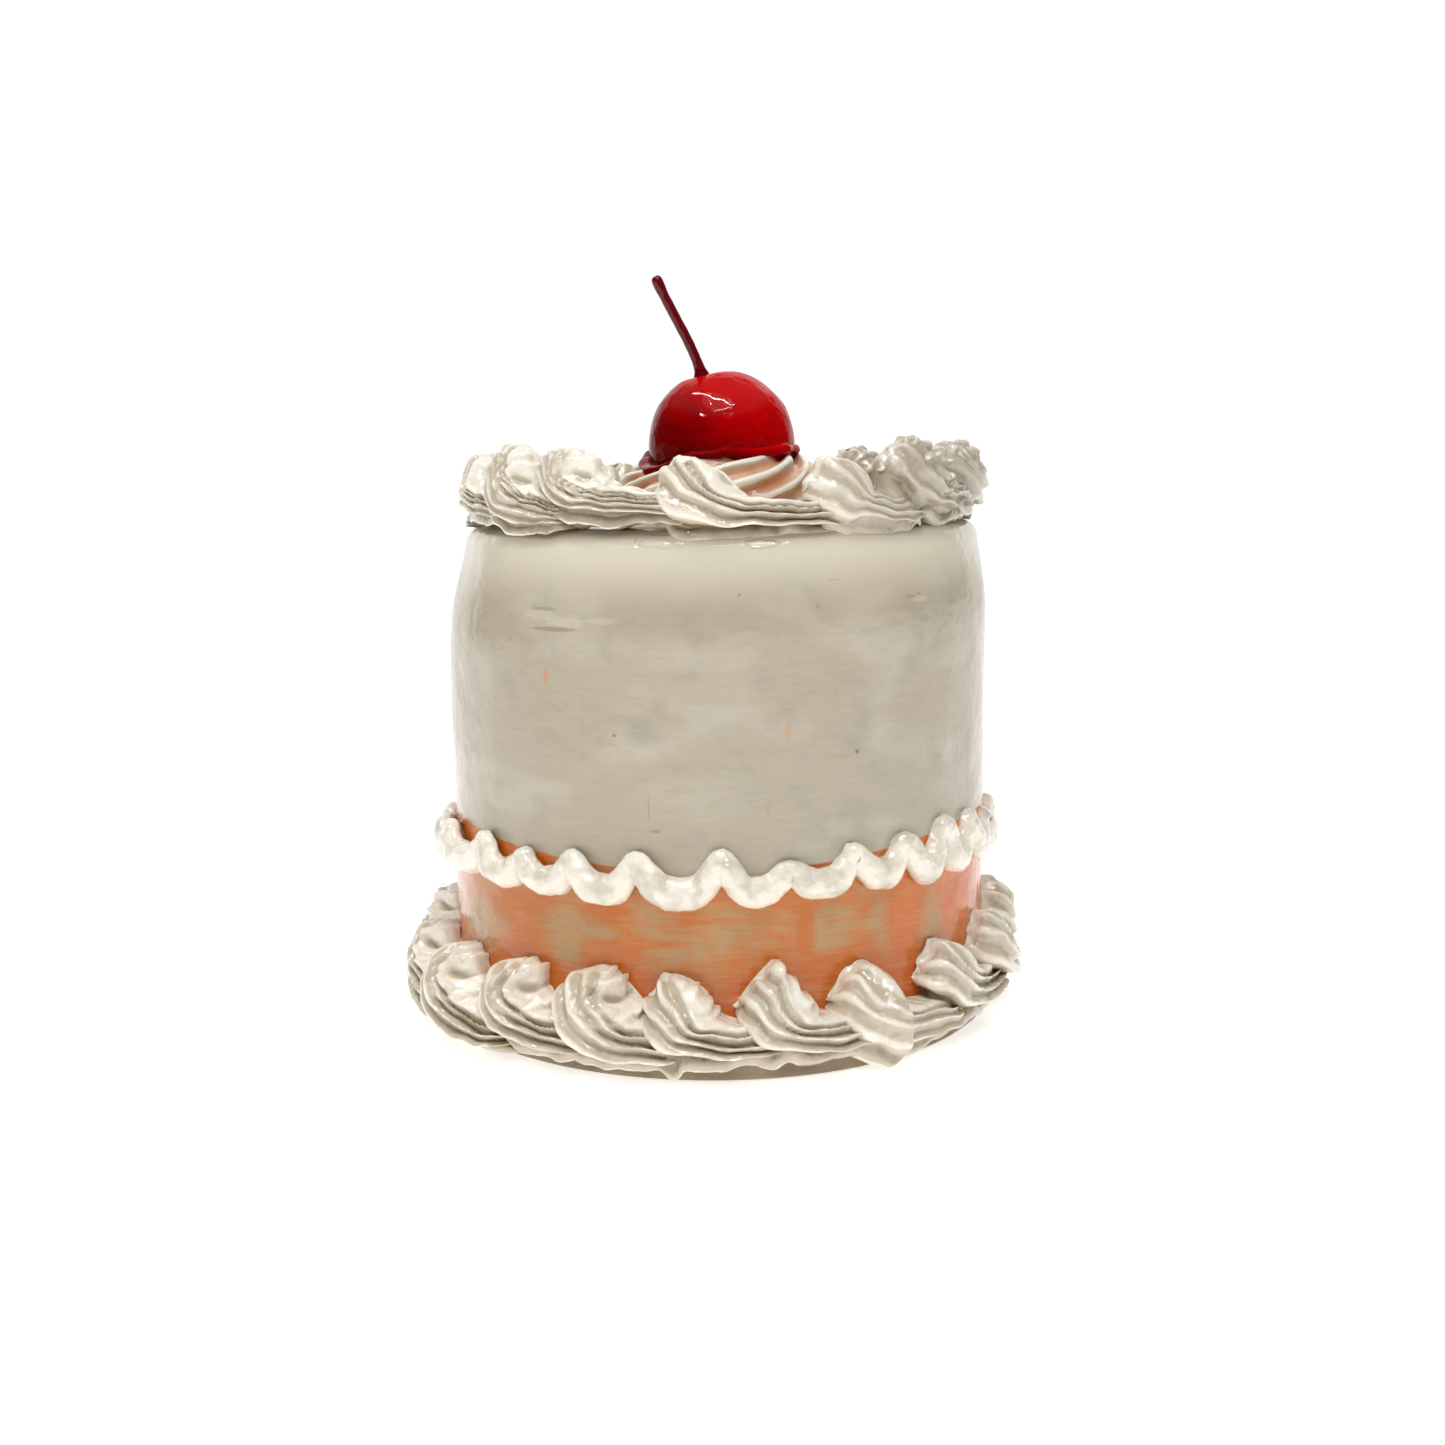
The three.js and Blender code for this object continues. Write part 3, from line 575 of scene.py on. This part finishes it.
def cherry_finish(name, bright, shaded):
    """Red glaze, darker to the lower left and brighter to the upper right as painted shade and light, with
    its clear top coat on the ball's shoulder and on the stem.
    """
    f = Finish(name, Roughness=0.03, Specular_IOR_Level=0.04, Coat_IOR=1.5, Coat_Roughness=0.02)
    # Painted light and shade: the red darkens to the lower left and brightens to the upper right
    lit = f.step(0.05 * f.axis("X") + 0.06 * (f.axis("Z") - 104) + 0.8 * (f.cloud(8, 1) - 0.5), -0.2, 0.9)
    f.set("Base Color", f.mix(lit, shaded, bright))
    off = (f.axis("X") - 1.0) * (1 / 9)
    rise = (f.axis("Z") - 113.9) * (1 / 3.4)
    clear = f.step(off * off + rise * rise, 1.3, 0.6) + f.step(f.axis("Z"), 119.2, 120)
    f.set("Coat Weight", clear * 0.6)
    f.set("Normal", f.bump(f.cloud(2.4, 3, 2), 0.26))
    return f


def clay_finish():
    f = Finish("bare clay", Roughness=0.6, Specular_IOR_Level=0.3)
    colour = f.mix(f.step(f.cloud(8, 1, 3), 0.35, 0.7), CLAY, CLAY_DARK)
    f.set("Base Color", f.mix(f.specks(2.4, 0.2, 0.4) * 0.5, colour, SPECK))
    f.set("Normal", f.bump(f.cloud(1.1, 4, 4, 0.6), 0.2))
    return f


def floor_finish():
    f = Finish("pale paper", Roughness=0.9, Specular_IOR_Level=0.1, Emission_Color=(1, 1, 1, 1),
               Emission_Strength=FLOOR_GLOW)
    f.set("Base Color", f.mix(f.cloud(60, 1), (0.93, 0.93, 0.93), (0.95, 0.95, 0.95)))
    return f


# The body

def dents(turn, height):
    """How far the thumbed wall stands out from a true cylinder."""
    spot = around(turn, WALL_RADIUS, height)
    return 0.55 * hills(spot, 24, 1) + 0.2 * hills(spot, 9, 2)


def wall_radius(height):
    """The wall's plain radius, which draws in towards the shoulder."""
    return WALL_RADIUS - (WALL_RADIUS - SHOULDER_RADIUS) * ease(70, SHOULDER_HEIGHT + 3, height) ** 1.4


def layer_part(name, low, high, domed):
    """A closed drum of the body between two heights, with the shoulder on top if it is domed."""
    rows = [(0.0, low), (0.5 * WALL_RADIUS, low)]
    steps = max(2, round(high - low))
    rows += [(wall_radius(h), h) for h in (low + (high - low) * i / steps for i in range(steps + 1))]
    if domed:
        for i in range(1, 9):
            swing = math.radians(90 * i / 8)
            rows.append((TOP_RADIUS + (SHOULDER_RADIUS - TOP_RADIUS) * math.cos(swing),
                         high + (TOP_HEIGHT - high) * math.sin(swing)))
        rows += [(TOP_RADIUS * (1 - i / 8), TOP_HEIGHT) for i in range(1, 9)]
    else:
        rows += [(0.5 * WALL_RADIUS, high), (0.0, high)]

    def place(u, v):
        radius, height = rows[round(v * (len(rows) - 1))]
        turn = 360 * u
        outside = radius / WALL_RADIUS
        return leaned(around(turn, radius + dents(turn, height) * outside ** 4, height)), 0, 0

    return rolled(name, 288, len(rows) - 1, place)


def clay_slab():
    """The round slab, cut by hand, with a worn edge."""
    bevel = 1.3
    rows = [(0.0, 0.0), (SLAB_RADIUS - bevel, 0.0)]
    for i in range(1, 6):
        swing = math.radians(90 * i / 5)
        rows.append((SLAB_RADIUS - bevel + bevel * math.sin(swing), bevel * (1 - math.cos(swing))))
    for i in range(6):
        swing = math.radians(90 * i / 5)
        rows.append((SLAB_RADIUS - bevel + bevel * math.cos(swing),
                     SLAB_THICKNESS - bevel * (1 - math.sin(swing))))
    rows.append((0.0, SLAB_THICKNESS))

    def place(u, v):
        radius, height = rows[round(v * (len(rows) - 1))]
        turn = 360 * u
        angle = math.radians(turn)
        uneven = 0.9 * (math.cos(angle + 0.9) + 0.4 * math.sin(3 * angle)) / SLAB_RADIUS
        rough = 0.35 * hills(around(turn, radius, height), 5, 3)
        rough = rough * ease(40, SLAB_RADIUS, radius) * ease(0, 1, height)
        return around(turn, radius * (1 + uneven), height), rough, 0

    return rolled("clay_slab", 240, len(rows) - 1, place)


# The rope

def rope_peaks():
    """The turn and height of every peak, and the height of the low point after it."""
    first, last = ROPE_PEAKS_SEEN[0][0], ROPE_PEAKS_SEEN[-1][0]
    spacing = (first + 360 - last) / (ROPE_PEAKS_HIDDEN + 1)
    draw = random.Random(4)
    hidden = [
        (last + spacing * (i + 1) + draw.uniform(-1, 1), 37.4 + draw.uniform(-0.9, 0.9),
         32.4 + draw.uniform(-0.4, 0.4))
        for i in range(ROPE_PEAKS_HIDDEN)
    ]
    return ROPE_PEAKS_SEEN + hidden


def wavy_rope():
    """A coil of clay laid round the wall in waves, thicker where it lies low."""
    peaks = rope_peaks()
    count = len(peaks)
    per_wave = 26

    def middle(spot):
        """The rope's turn and height, and its share of the wave, spot waves after the first peak."""
        index = int(spot) % count
        t = spot - int(spot)
        turn, height, low = peaks[index]
        next_turn, next_height, _ = peaks[(index + 1) % count]
        next_turn += 360 if next_turn < turn else 0
        pinch = 0.07 * math.sin(2 * math.pi * t)
        rise = (0.5 + 0.5 * math.cos(2 * math.pi * t)) ** 1.3
        top = height + (next_height - height) * ease(0, 1, t)
        return turn + (next_turn - turn) * (t - pinch), low + (top - low) * rise, t

    def place(u, v):
        spot = v * count
        turn, height, t = middle(spot % count)
        before, after = middle((spot - 0.03) % count), middle((spot + 0.03) % count)
        step = ((after[0] - before[0] + 180) % 360) - 180
        run = Vector((math.radians(step) * WALL_RADIUS, after[1] - before[1])).normalized()
        angle = 2 * math.pi * u
        thick = ROPE_RADIUS * (0.98 + 0.13 * math.cos(2 * math.pi * (t - 0.5)))
        spread, depth = math.sin(angle) * thick, math.cos(angle) * thick * 0.95
        lap = 0.35 * math.sin(2 * math.pi * t)
        side = 0.5 - 0.5 * math.sin(math.radians(turn))
        radius = WALL_RADIUS + 0.2 + 1.6 * side + lap + depth
        at = around(turn - math.degrees(spread * run.y / WALL_RADIUS), max(radius, WALL_RADIUS - 0.8),
                    height + spread * run.x)
        lumps = 0.55 * hills(at, 3.6, 5) + 0.34 * hills(at, 1.9, 6) + 0.1 * hills(at, 0.9, 7)
        # The last value darkens the rope's side against the wall: pooled glaze, and painted shade
        return at, lumps, ease(0.1, -0.7, math.cos(angle))

    return rolled("wavy_rope", 28, per_wave * count, place)


# The piped strokes

def ring_eyes(ring):
    """Every stroke's number, its eye's turn and height, and its reach along the ring to the next eye."""
    seen, hidden = ring["seen"], ring["hidden"]
    spacing = (seen[0][0] + 360 - seen[-1][0]) / (hidden + 1)
    eyes = list(seen)
    for i in range(hidden):
        turn = seen[-1][0] + spacing * (i + 1)
        tilt = ring["eye_tilt"] * math.sin(math.radians(turn))
        eyes.append((turn, ring["eye_height"] + tilt + 0.6 * math.sin(2.4 * i + 2)))
    following = [turn for turn, _ in eyes[1:]] + [eyes[0][0] + 360]
    return [(index, turn, height, math.radians(after - turn) * ring["middle"])
            for index, ((turn, height), after) in enumerate(zip(eyes, following))]


def stroke_rows(ring, index, turn, reach, looks):
    """The stroke's stations: slope end, rib edge, middle, outer edge and how far each stands out."""
    size = looks["size"] * (1 + 0.04 * math.sin(2.4 * index + 0.4))
    shell = looks["shell"]
    stout = ring["stout"] - ring["left"] * math.sin(math.radians(turn))
    stretch = reach / (STATION_REACH * size)
    drop = ring["drop"] * looks["drop"]
    rows = []
    for curled, shelled in zip(CURLED, SHELLED):
        edges = [Vector(a).lerp(Vector(b), shell) for a, b in zip(curled[:3], shelled[:3])]
        bow, out = [a + (b - a) * shell for a, b in zip(curled[3:], shelled[3:])]
        slope, inner, outer = [
            Vector((e.x * (stretch if e.x > 0 else 1), e.y * (drop if e.y < 0 else 1))) * size for e in edges
        ]
        line = outer - inner
        middle = (inner + outer) / 2 + Vector((line.y, -line.x)).normalized() * bow * size
        rows.append([*slope, *inner, *middle, *outer, out * size * stout])
    return rows


def foot_place(turn, radius, height):
    """A foot stroke's point, kept out of the wall and off the table."""
    return around(turn, max(radius, WALL_RADIUS - 1.6), max(height, 1.2))


def rim_place(turn, radius, height):
    """A rim stroke's point, kept above the shoulder that it lies on."""
    slope = (TOP_HEIGHT - SHOULDER_HEIGHT) / (SHOULDER_RADIUS - TOP_RADIUS)
    floor = TOP_HEIGHT - 0.5 - slope * max(0, radius - TOP_RADIUS)
    floor = floor if radius < SHOULDER_RADIUS else RIM_LOWEST
    return leaned(around(turn, radius, max(height, floor)))


def rib_phase(rib, v):
    """How many crests a share across the ribbed face is past the first one."""
    spread = ease(0.06, 0.42, v)
    crests = [head + (end - head) * spread for head, end in zip(CRESTS_HEAD, CRESTS_TAIL)]
    index = 0
    while index < len(crests) - 2 and rib > crests[index + 1]:
        index += 1
    return index + (rib - crests[index]) / (crests[index + 1] - crests[index])


def eye_form(x, y):
    """The pit of the eye, the roll of clay round it and the channel that leaves it, in millimetres."""
    off = Vector((x - EYE_MIDDLE, 1.15 * y))
    far = off.length
    way = off.dot(EYE_OPEN)
    aside = (off - EYE_OPEN * way).length
    closed = 1 - ease(0.2, 0.9, way / max(far, 0.01))
    near_roll, far_roll = [math.exp(-((far - middle) / 0.6) ** 2) for middle in EYE_ROLLS]
    roll = 1.4 * near_roll * closed + 0.9 * far_roll
    channel = 0.45 * math.exp(-((aside / 0.9) ** 2)) * ease(0, 1.5, way) * ease(6, 3, way)
    bent = off.x * EYE_OPEN.y - off.y * EYE_OPEN.x + 0.16 * way * way
    pit = math.exp(-(((0.62 * way - 0.15) / EYE_RADIUS) ** 2 + (bent / 0.8 / EYE_RADIUS) ** 2) ** 1.5)
    return pit, roll - channel


def piped_stroke(name, ring, index, turn, height, reach, settle):
    """One stroke: a ribbed rope pressed out over its crown, swept round its eye and drawn out in a tail."""
    looks = {**PLAIN_STROKE, **ring["looks"].get(index, {})}
    rows = stroke_rows(ring, index, turn, reach, looks)
    frames = {}

    def frame_at(v):
        if v not in frames:
            *ends, out = through(rows, v)
            edges = [Vector(ends[i:i + 2]) for i in range(0, 8, 2)]
            slope, face = (edges[1] - edges[0]).length, (edges[3] - edges[1]).length
            turned = slope / (slope + face)
            frames[v] = edges, turned, out if 0 < v < 1 else 0
        return frames[v]

    def place(u, v):
        edges, turned, out = frame_at(round(v, 6))
        angle = 2 * math.pi * (u - 0.5)
        sine, cosine = math.sin(angle), math.cos(angle)
        across = 0.5 + 0.5 * math.copysign(abs(sine) ** 0.85, sine)
        stand = math.copysign(abs(cosine) ** 0.7, cosine)
        share = across / turned / 3 if across < turned else (1 + 2 * (across - turned) / (1 - turned)) / 3
        spot = Vector(through(edges, share))
        profile = through([(0.5,), (0.8,), (1.0,), (0.92,)], share)[0]
        back = 1 if stand > 0 else ring["back"]
        rib = (across - turned) / (1 - turned)
        tail = ease(0.4, 0.75, v)
        lie = (5 * v, 3 * across, 3.1 * index)
        slanted = rib - looks["slant"] * max(0, 1 - v / HEAD_SHARE) + 0.09 * hills(lie, 1, 11)
        phase = rib_phase(max(slanted, 0), v)
        wave = 0.5 - 0.5 * math.cos(2 * math.pi * phase * looks["fine"])
        groove = wave ** ((1.15 - 0.5 * tail) * looks["crisp"])
        trough = ease(2.8, 3.3, phase) * ease(0.16, 0.36, v)
        shown = ease(-0.05, 0.1, rib)
        depth = looks["depth"] * (0.8 + 0.2 * ease(0, 0.12, v)) * (1 + 0.35 * tail + 0.7 * trough)
        depth *= 1 + 0.35 * hills(lie, 1, 12)
        pit, roll = eye_form(spot.x, spot.y - ring["pit_rise"]) if stand > 0 else (0, 0)
        along, rise, wide, tall, swell = looks["lump"]
        lump = ease(1.3, 0.2, ((spot.x - along) / wide) ** 2 + ((spot.y - rise) / tall) ** 2)
        lump *= stand > 0
        depth *= 1 - 0.5 * lump * (swell > 0)
        relief = -depth * groove * shown + looks["eye"] * (0.75 * roll - pit) + swell * lump
        if stand < 0:
            spot += (edges[1] - edges[3]).normalized() * depth * groove * shown * ease(0.55, 1, across)
            spot.y -= depth * groove * shown * ease(0.1, 0.3, across) * ease(0.75, 0.5, across)
            relief = 0
        rag = looks["ragged"] * ease(0.7, 0.95, across) * ease(0.25, 0.45, v)
        spot.y -= rag * (0.3 + 0.9 * hills((spot.x / 2.6, index, 0), 1, 15))
        along, rise = looks["peak"]
        spot.y += rise * math.exp(-(((spot.x - along) / 2.2) ** 2)) * ease(0.5, 0.2, v) * ease(-1, 2, spot.y)
        along, fall = looks["hang"]
        spot.y -= fall * math.exp(-(((spot.x - along) / 3.2) ** 2)) * ease(0.6, 0.95, across)
        shift = [looks["wobble"] * hills((spot.x, spot.y, 9 * index), 4, seed) for seed in (17, 18)]
        spot += Vector(shift)
        at_turn = turn + math.degrees(spot.x / ring["middle"])
        point = settle(at_turn, ring["middle"] + out * profile * stand * back, height + spot.y)
        relief += 0.3 * hills(point, 5.5, 16) + 0.16 * hills(point, 2.6, 13) + 0.05 * hills(point, 1.1, 14)
        ends = 0 if v in (0, 1) else ease(0, 0.03, v)
        # How far the glaze darkens: pooled glaze in grooves, troughs and the eye's pit, and painted shade
        # there
        pooled_and_painted_shade = groove * shown * (0.6 + 0.3 * tail + 0.6 * trough) * ease(0.03, 0.14, v)
        pooled_and_painted_shade *= 0.4 + 0.6 * min(1, looks["depth"] / 1.2)
        pooled_and_painted_shade += 0.3 * pit * (looks["eye"] > 0)
        return point, relief * ends, pooled_and_painted_shade

    return rolled(name, ring["across"], ring["along"], place)


# The nest, the cherry and the stem

def piped_nest():
    """A star-nozzle rope laid in a ring whose ridges climb as they go round."""
    ridges, climb = 8, 10

    def place(u, v):
        turn, side = 360 * v, 360 * u - 180
        phase = ridges * side / 360 - climb * v
        wave = 0.5 - 0.5 * math.cos(2 * math.pi * phase + 1.1 * math.sin(math.radians(3 * turn)))
        groove = wave ** 1.1
        angle = math.radians(side)
        scale = 1.02 - 0.24 * groove + 0.05 * hills(around(turn, 18, 0), 9, 21)
        radius = NEST_MIDDLE + 6.2 * scale * math.cos(angle)
        low_side = math.exp(-(((turn - SPILL_TURN) / 38) ** 2))
        height = NEST_HEIGHT + (5.6 - 1.8 * low_side) * scale * math.sin(angle)
        spot = around(turn, radius, max(height, TOP_HEIGHT - 0.4))
        spot += Vector((CHERRY_CENTRE.x, 0, 0))
        return spot, 0.4 * hills(spot, 7, 22) + 0.12 * hills(spot, 2, 23), groove

    return rolled("piped_nest", 110, 260, place)


def cherry_ball():
    """The cherry: a lumpy ball with a dimple for its stem."""
    form = bmesh.new()
    form.verts.layers.float.new("groove")
    bmesh.ops.create_icosphere(form, subdivisions=6, radius=1)
    lean = math.radians(DIMPLE_LEAN)
    axis = Vector((-math.sin(lean), 0, math.cos(lean)))
    for corner in form.verts:
        way = corner.co.normalized()
        off = math.degrees(way.angle(axis))
        radius = CHERRY_RADIUS - 1.7 * math.exp(-((off / 13) ** 2))
        radius += 0.3 * hills(way, 0.7, 31) + 0.13 * hills(way, 0.25, 32) + 0.03 * hills(way, 0.1, 33) - 0.12
        corner.co = CHERRY_CENTRE + way * radius
        corner.co.z = max(corner.co.z, TOP_HEIGHT + 0.2)
    bmesh.ops.recalc_face_normals(form, faces=form.faces)
    return finished("glazed_cherry", form)


def glaze_skirt():
    """Red glaze that ran down the cherry and set in a ragged bead where it meets the nest."""

    def place(u, v):
        turn, side = 360 * v, 360 * u
        spill = math.exp(-(((turn - SPILL_TURN) / 34) ** 2))
        run_down = 0.8 * hills(around(turn, 1, 0), 0.4, 41) - 3.8 * spill
        middle = SKIRT_HEIGHT + run_down
        ball = math.sqrt(max(0, CHERRY_RADIUS ** 2 - (middle - CHERRY_CENTRE.z) ** 2))
        thick = 0.8 + 0.45 * hills(around(turn, 1, 0), 0.3, 42) + 0.3 * spill
        outward = math.cos(math.radians(side))
        radius = ball + 0.1 + 2.2 * spill * (0.5 + 0.5 * outward) + thick * 1.1 * outward
        height = middle + thick * math.sin(math.radians(side))
        return around(turn, radius, height) + Vector((CHERRY_CENTRE.x, 0, 0)), 0, 0

    return rolled("glaze_skirt", 20, 240, place)


def cherry_stem():
    """The stem, which flares where it enters the dimple and ends in a small knob."""

    def place(u, v):
        middle, before, after = [
            Vector(through(STEM_POINTS, share)) for share in (v, max(0, v - 0.01), min(1, v + 0.01))
        ]
        run = (after - before).normalized()
        side = Vector((0, 1, 0))
        across = side.cross(run)
        angle = 2 * math.pi * u
        flare = 1.1 * math.exp(-((v / 0.14) ** 2))
        knob = 0.12 * ease(0.75, 0.94, v)
        end = math.sqrt(max(0, 1 - (1 - (1 - v) / 0.07) ** 2)) if v > 0.93 else 1
        end = 0 if v == 0 else end
        radius = STEM_RADIUS + flare + knob + 0.07 * hills((0, 0, 40 * v), 3, 51)
        radius *= end
        return middle + across * radius * math.cos(angle) + side * radius * math.sin(angle), 0, 0

    return rolled("cherry_stem_glazed", 24, 200, place)


# Dressing the solids

def dress(piece, finish, slot, *nodes):
    """Coats a piece, gives it its body and hides the solids that it stands for, if any. The slot is not used.
    """
    finish.coat(piece)
    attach(piece, "root")
    if nodes:
        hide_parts(*nodes)


wall = wall_finish()
piping = piping_finish()
red = cherry_finish("cherry glaze", CHERRY, CHERRY_PAINTED_SHADE)

dress(clay_slab(), clay_finish(), "clay", "base_slab")
dress(layer_part("coral_foot", SLAB_THICKNESS, BAND_TOP, False), wall, "coral", "lower_layer")
dress(layer_part("cream_body", BAND_TOP, SHOULDER_HEIGHT, True), wall, "cream", "upper_layer")
dress(wavy_rope(), rope_finish(), "piping", "wave_rope")
for kind, ring, settle in (("foot_stroke", FOOT_RING, foot_place), ("rim_stroke", RIM_RING, rim_place)):
    for index, turn, height, reach in ring_eyes(ring):
        number = f"_{index + 1:02d}"
        stroke = piped_stroke("piped_" + kind + number, ring, index, turn, height, reach, settle)
        dress(stroke, piping, "piping", kind + number)
dress(piped_nest(), nest_finish(), "peach", "nest")
dress(cherry_ball(), red, "cherry", "cherry")
dress(glaze_skirt(), red, "cherry")
dress(cherry_stem(), cherry_finish("stem glaze", STEM, STEM), "stem", "cherry_stem")


# The camera, at the photograph's place, and the studio

def shown(name, data):
    """A camera's or a light's object in the scene."""
    made = bpy.data.objects.new(name, data)
    bpy.context.scene.collection.objects.link(made)
    return made


def set_camera():
    camera = shown("camera", bpy.data.cameras.new("camera"))
    focal_pixels, frame_pixels = 1732, 1445
    camera.data.sensor_width = 36
    camera.data.lens = focal_pixels / frame_pixels * camera.data.sensor_width
    camera.data.clip_start = 0.01
    look_down, roll = math.radians(9.2), math.radians(-0.9)
    turned = Matrix.Rotation(math.radians(90) - look_down, 4, "X") @ Matrix.Rotation(roll, 4, "Z")
    camera.matrix_world = Matrix.Translation(Vector((0.8, -330, 106)) * MM) @ turned
    bpy.context.scene.camera = camera


def soft_box(name, place, target, width, height, power):
    """A rectangular light in metres and watts that faces a target."""
    light = shown(name, bpy.data.lights.new(name, "AREA"))
    light.data.shape = "RECTANGLE"
    light.data.size, light.data.size_y = width, height
    light.data.energy = power
    light.location = place
    light.rotation_euler = (Vector(target) - Vector(place)).to_track_quat("-Z", "Y").to_euler()


def set_world():
    """A room that is bright behind the cake and dim in front of it, with a white backdrop on every side."""
    world = bpy.data.worlds.new("studio")
    world.use_nodes = True
    nodes, links = world.node_tree.nodes, world.node_tree.links
    split = nodes.new("ShaderNodeSeparateXYZ")
    links.new(nodes.new("ShaderNodeTexCoord").outputs["Generated"], split.inputs[0])
    total = nodes.new("ShaderNodeMath")
    parts = (("Y", 0.56, 0.68, FRONT_LIGHT, REAR_LIGHT), ("Z", 0.3, 0.8, 0, TOP_LIGHT))
    for term, (axis, low, high, start, end) in enumerate(parts):
        ramp = nodes.new("ShaderNodeMapRange")
        ramp.interpolation_type = "SMOOTHSTEP"
        for name, value in {"From Min": low, "From Max": high, "To Min": start, "To Max": end}.items():
            ramp.inputs[name].default_value = value
        links.new(split.outputs[axis], ramp.inputs["Value"])
        links.new(ramp.outputs[0], total.inputs[term])
    backdrop = nodes.new("ShaderNodeMix")
    backdrop.inputs["B"].default_value = BACKDROP_LIGHT
    links.new(nodes.new("ShaderNodeLightPath").outputs["Is Camera Ray"], backdrop.inputs["Factor"])
    links.new(total.outputs[0], backdrop.inputs["A"])
    links.new(backdrop.outputs["Result"], nodes["Background"].inputs["Strength"])
    nodes["Background"].inputs["Color"].default_value = (1, 1, 1, 1)
    bpy.context.scene.world = world


def set_studio():
    set_world()
    form = bmesh.new()
    bmesh.ops.create_grid(form, x_segments=1, y_segments=1, size=20000)
    floor = finished("paper_floor", form)
    floor_finish().coat(floor)
    sun = shown("soft sun", bpy.data.lights.new("soft sun", "SUN"))
    sun.data.energy = SUN_POWER
    sun.data.angle = math.radians(40)
    sun.rotation_euler = Vector((0.1, 0.42, -1)).to_track_quat("-Z", "Y").to_euler()
    target = (0, 0, 0.06)
    soft_box("key light", (-0.14, -0.18, 1.0), target, 1.1, 0.03, 5.2)
    soft_box("strip light", (0.03, -0.50, 0.72), target, 0.4, 0.02, 0.6)
    for x, y, z in ((-0.45, -0.50, 0.66), (-0.2, -0.35, 0.9), (0.25, -0.35, 0.8), (0.15, -0.62, 0.6)):
        soft_box("small light", (x, y, z), target, 0.035, 0.035, 0.4)
    bpy.context.scene.view_settings.view_transform = "Standard"


set_camera()
set_studio()
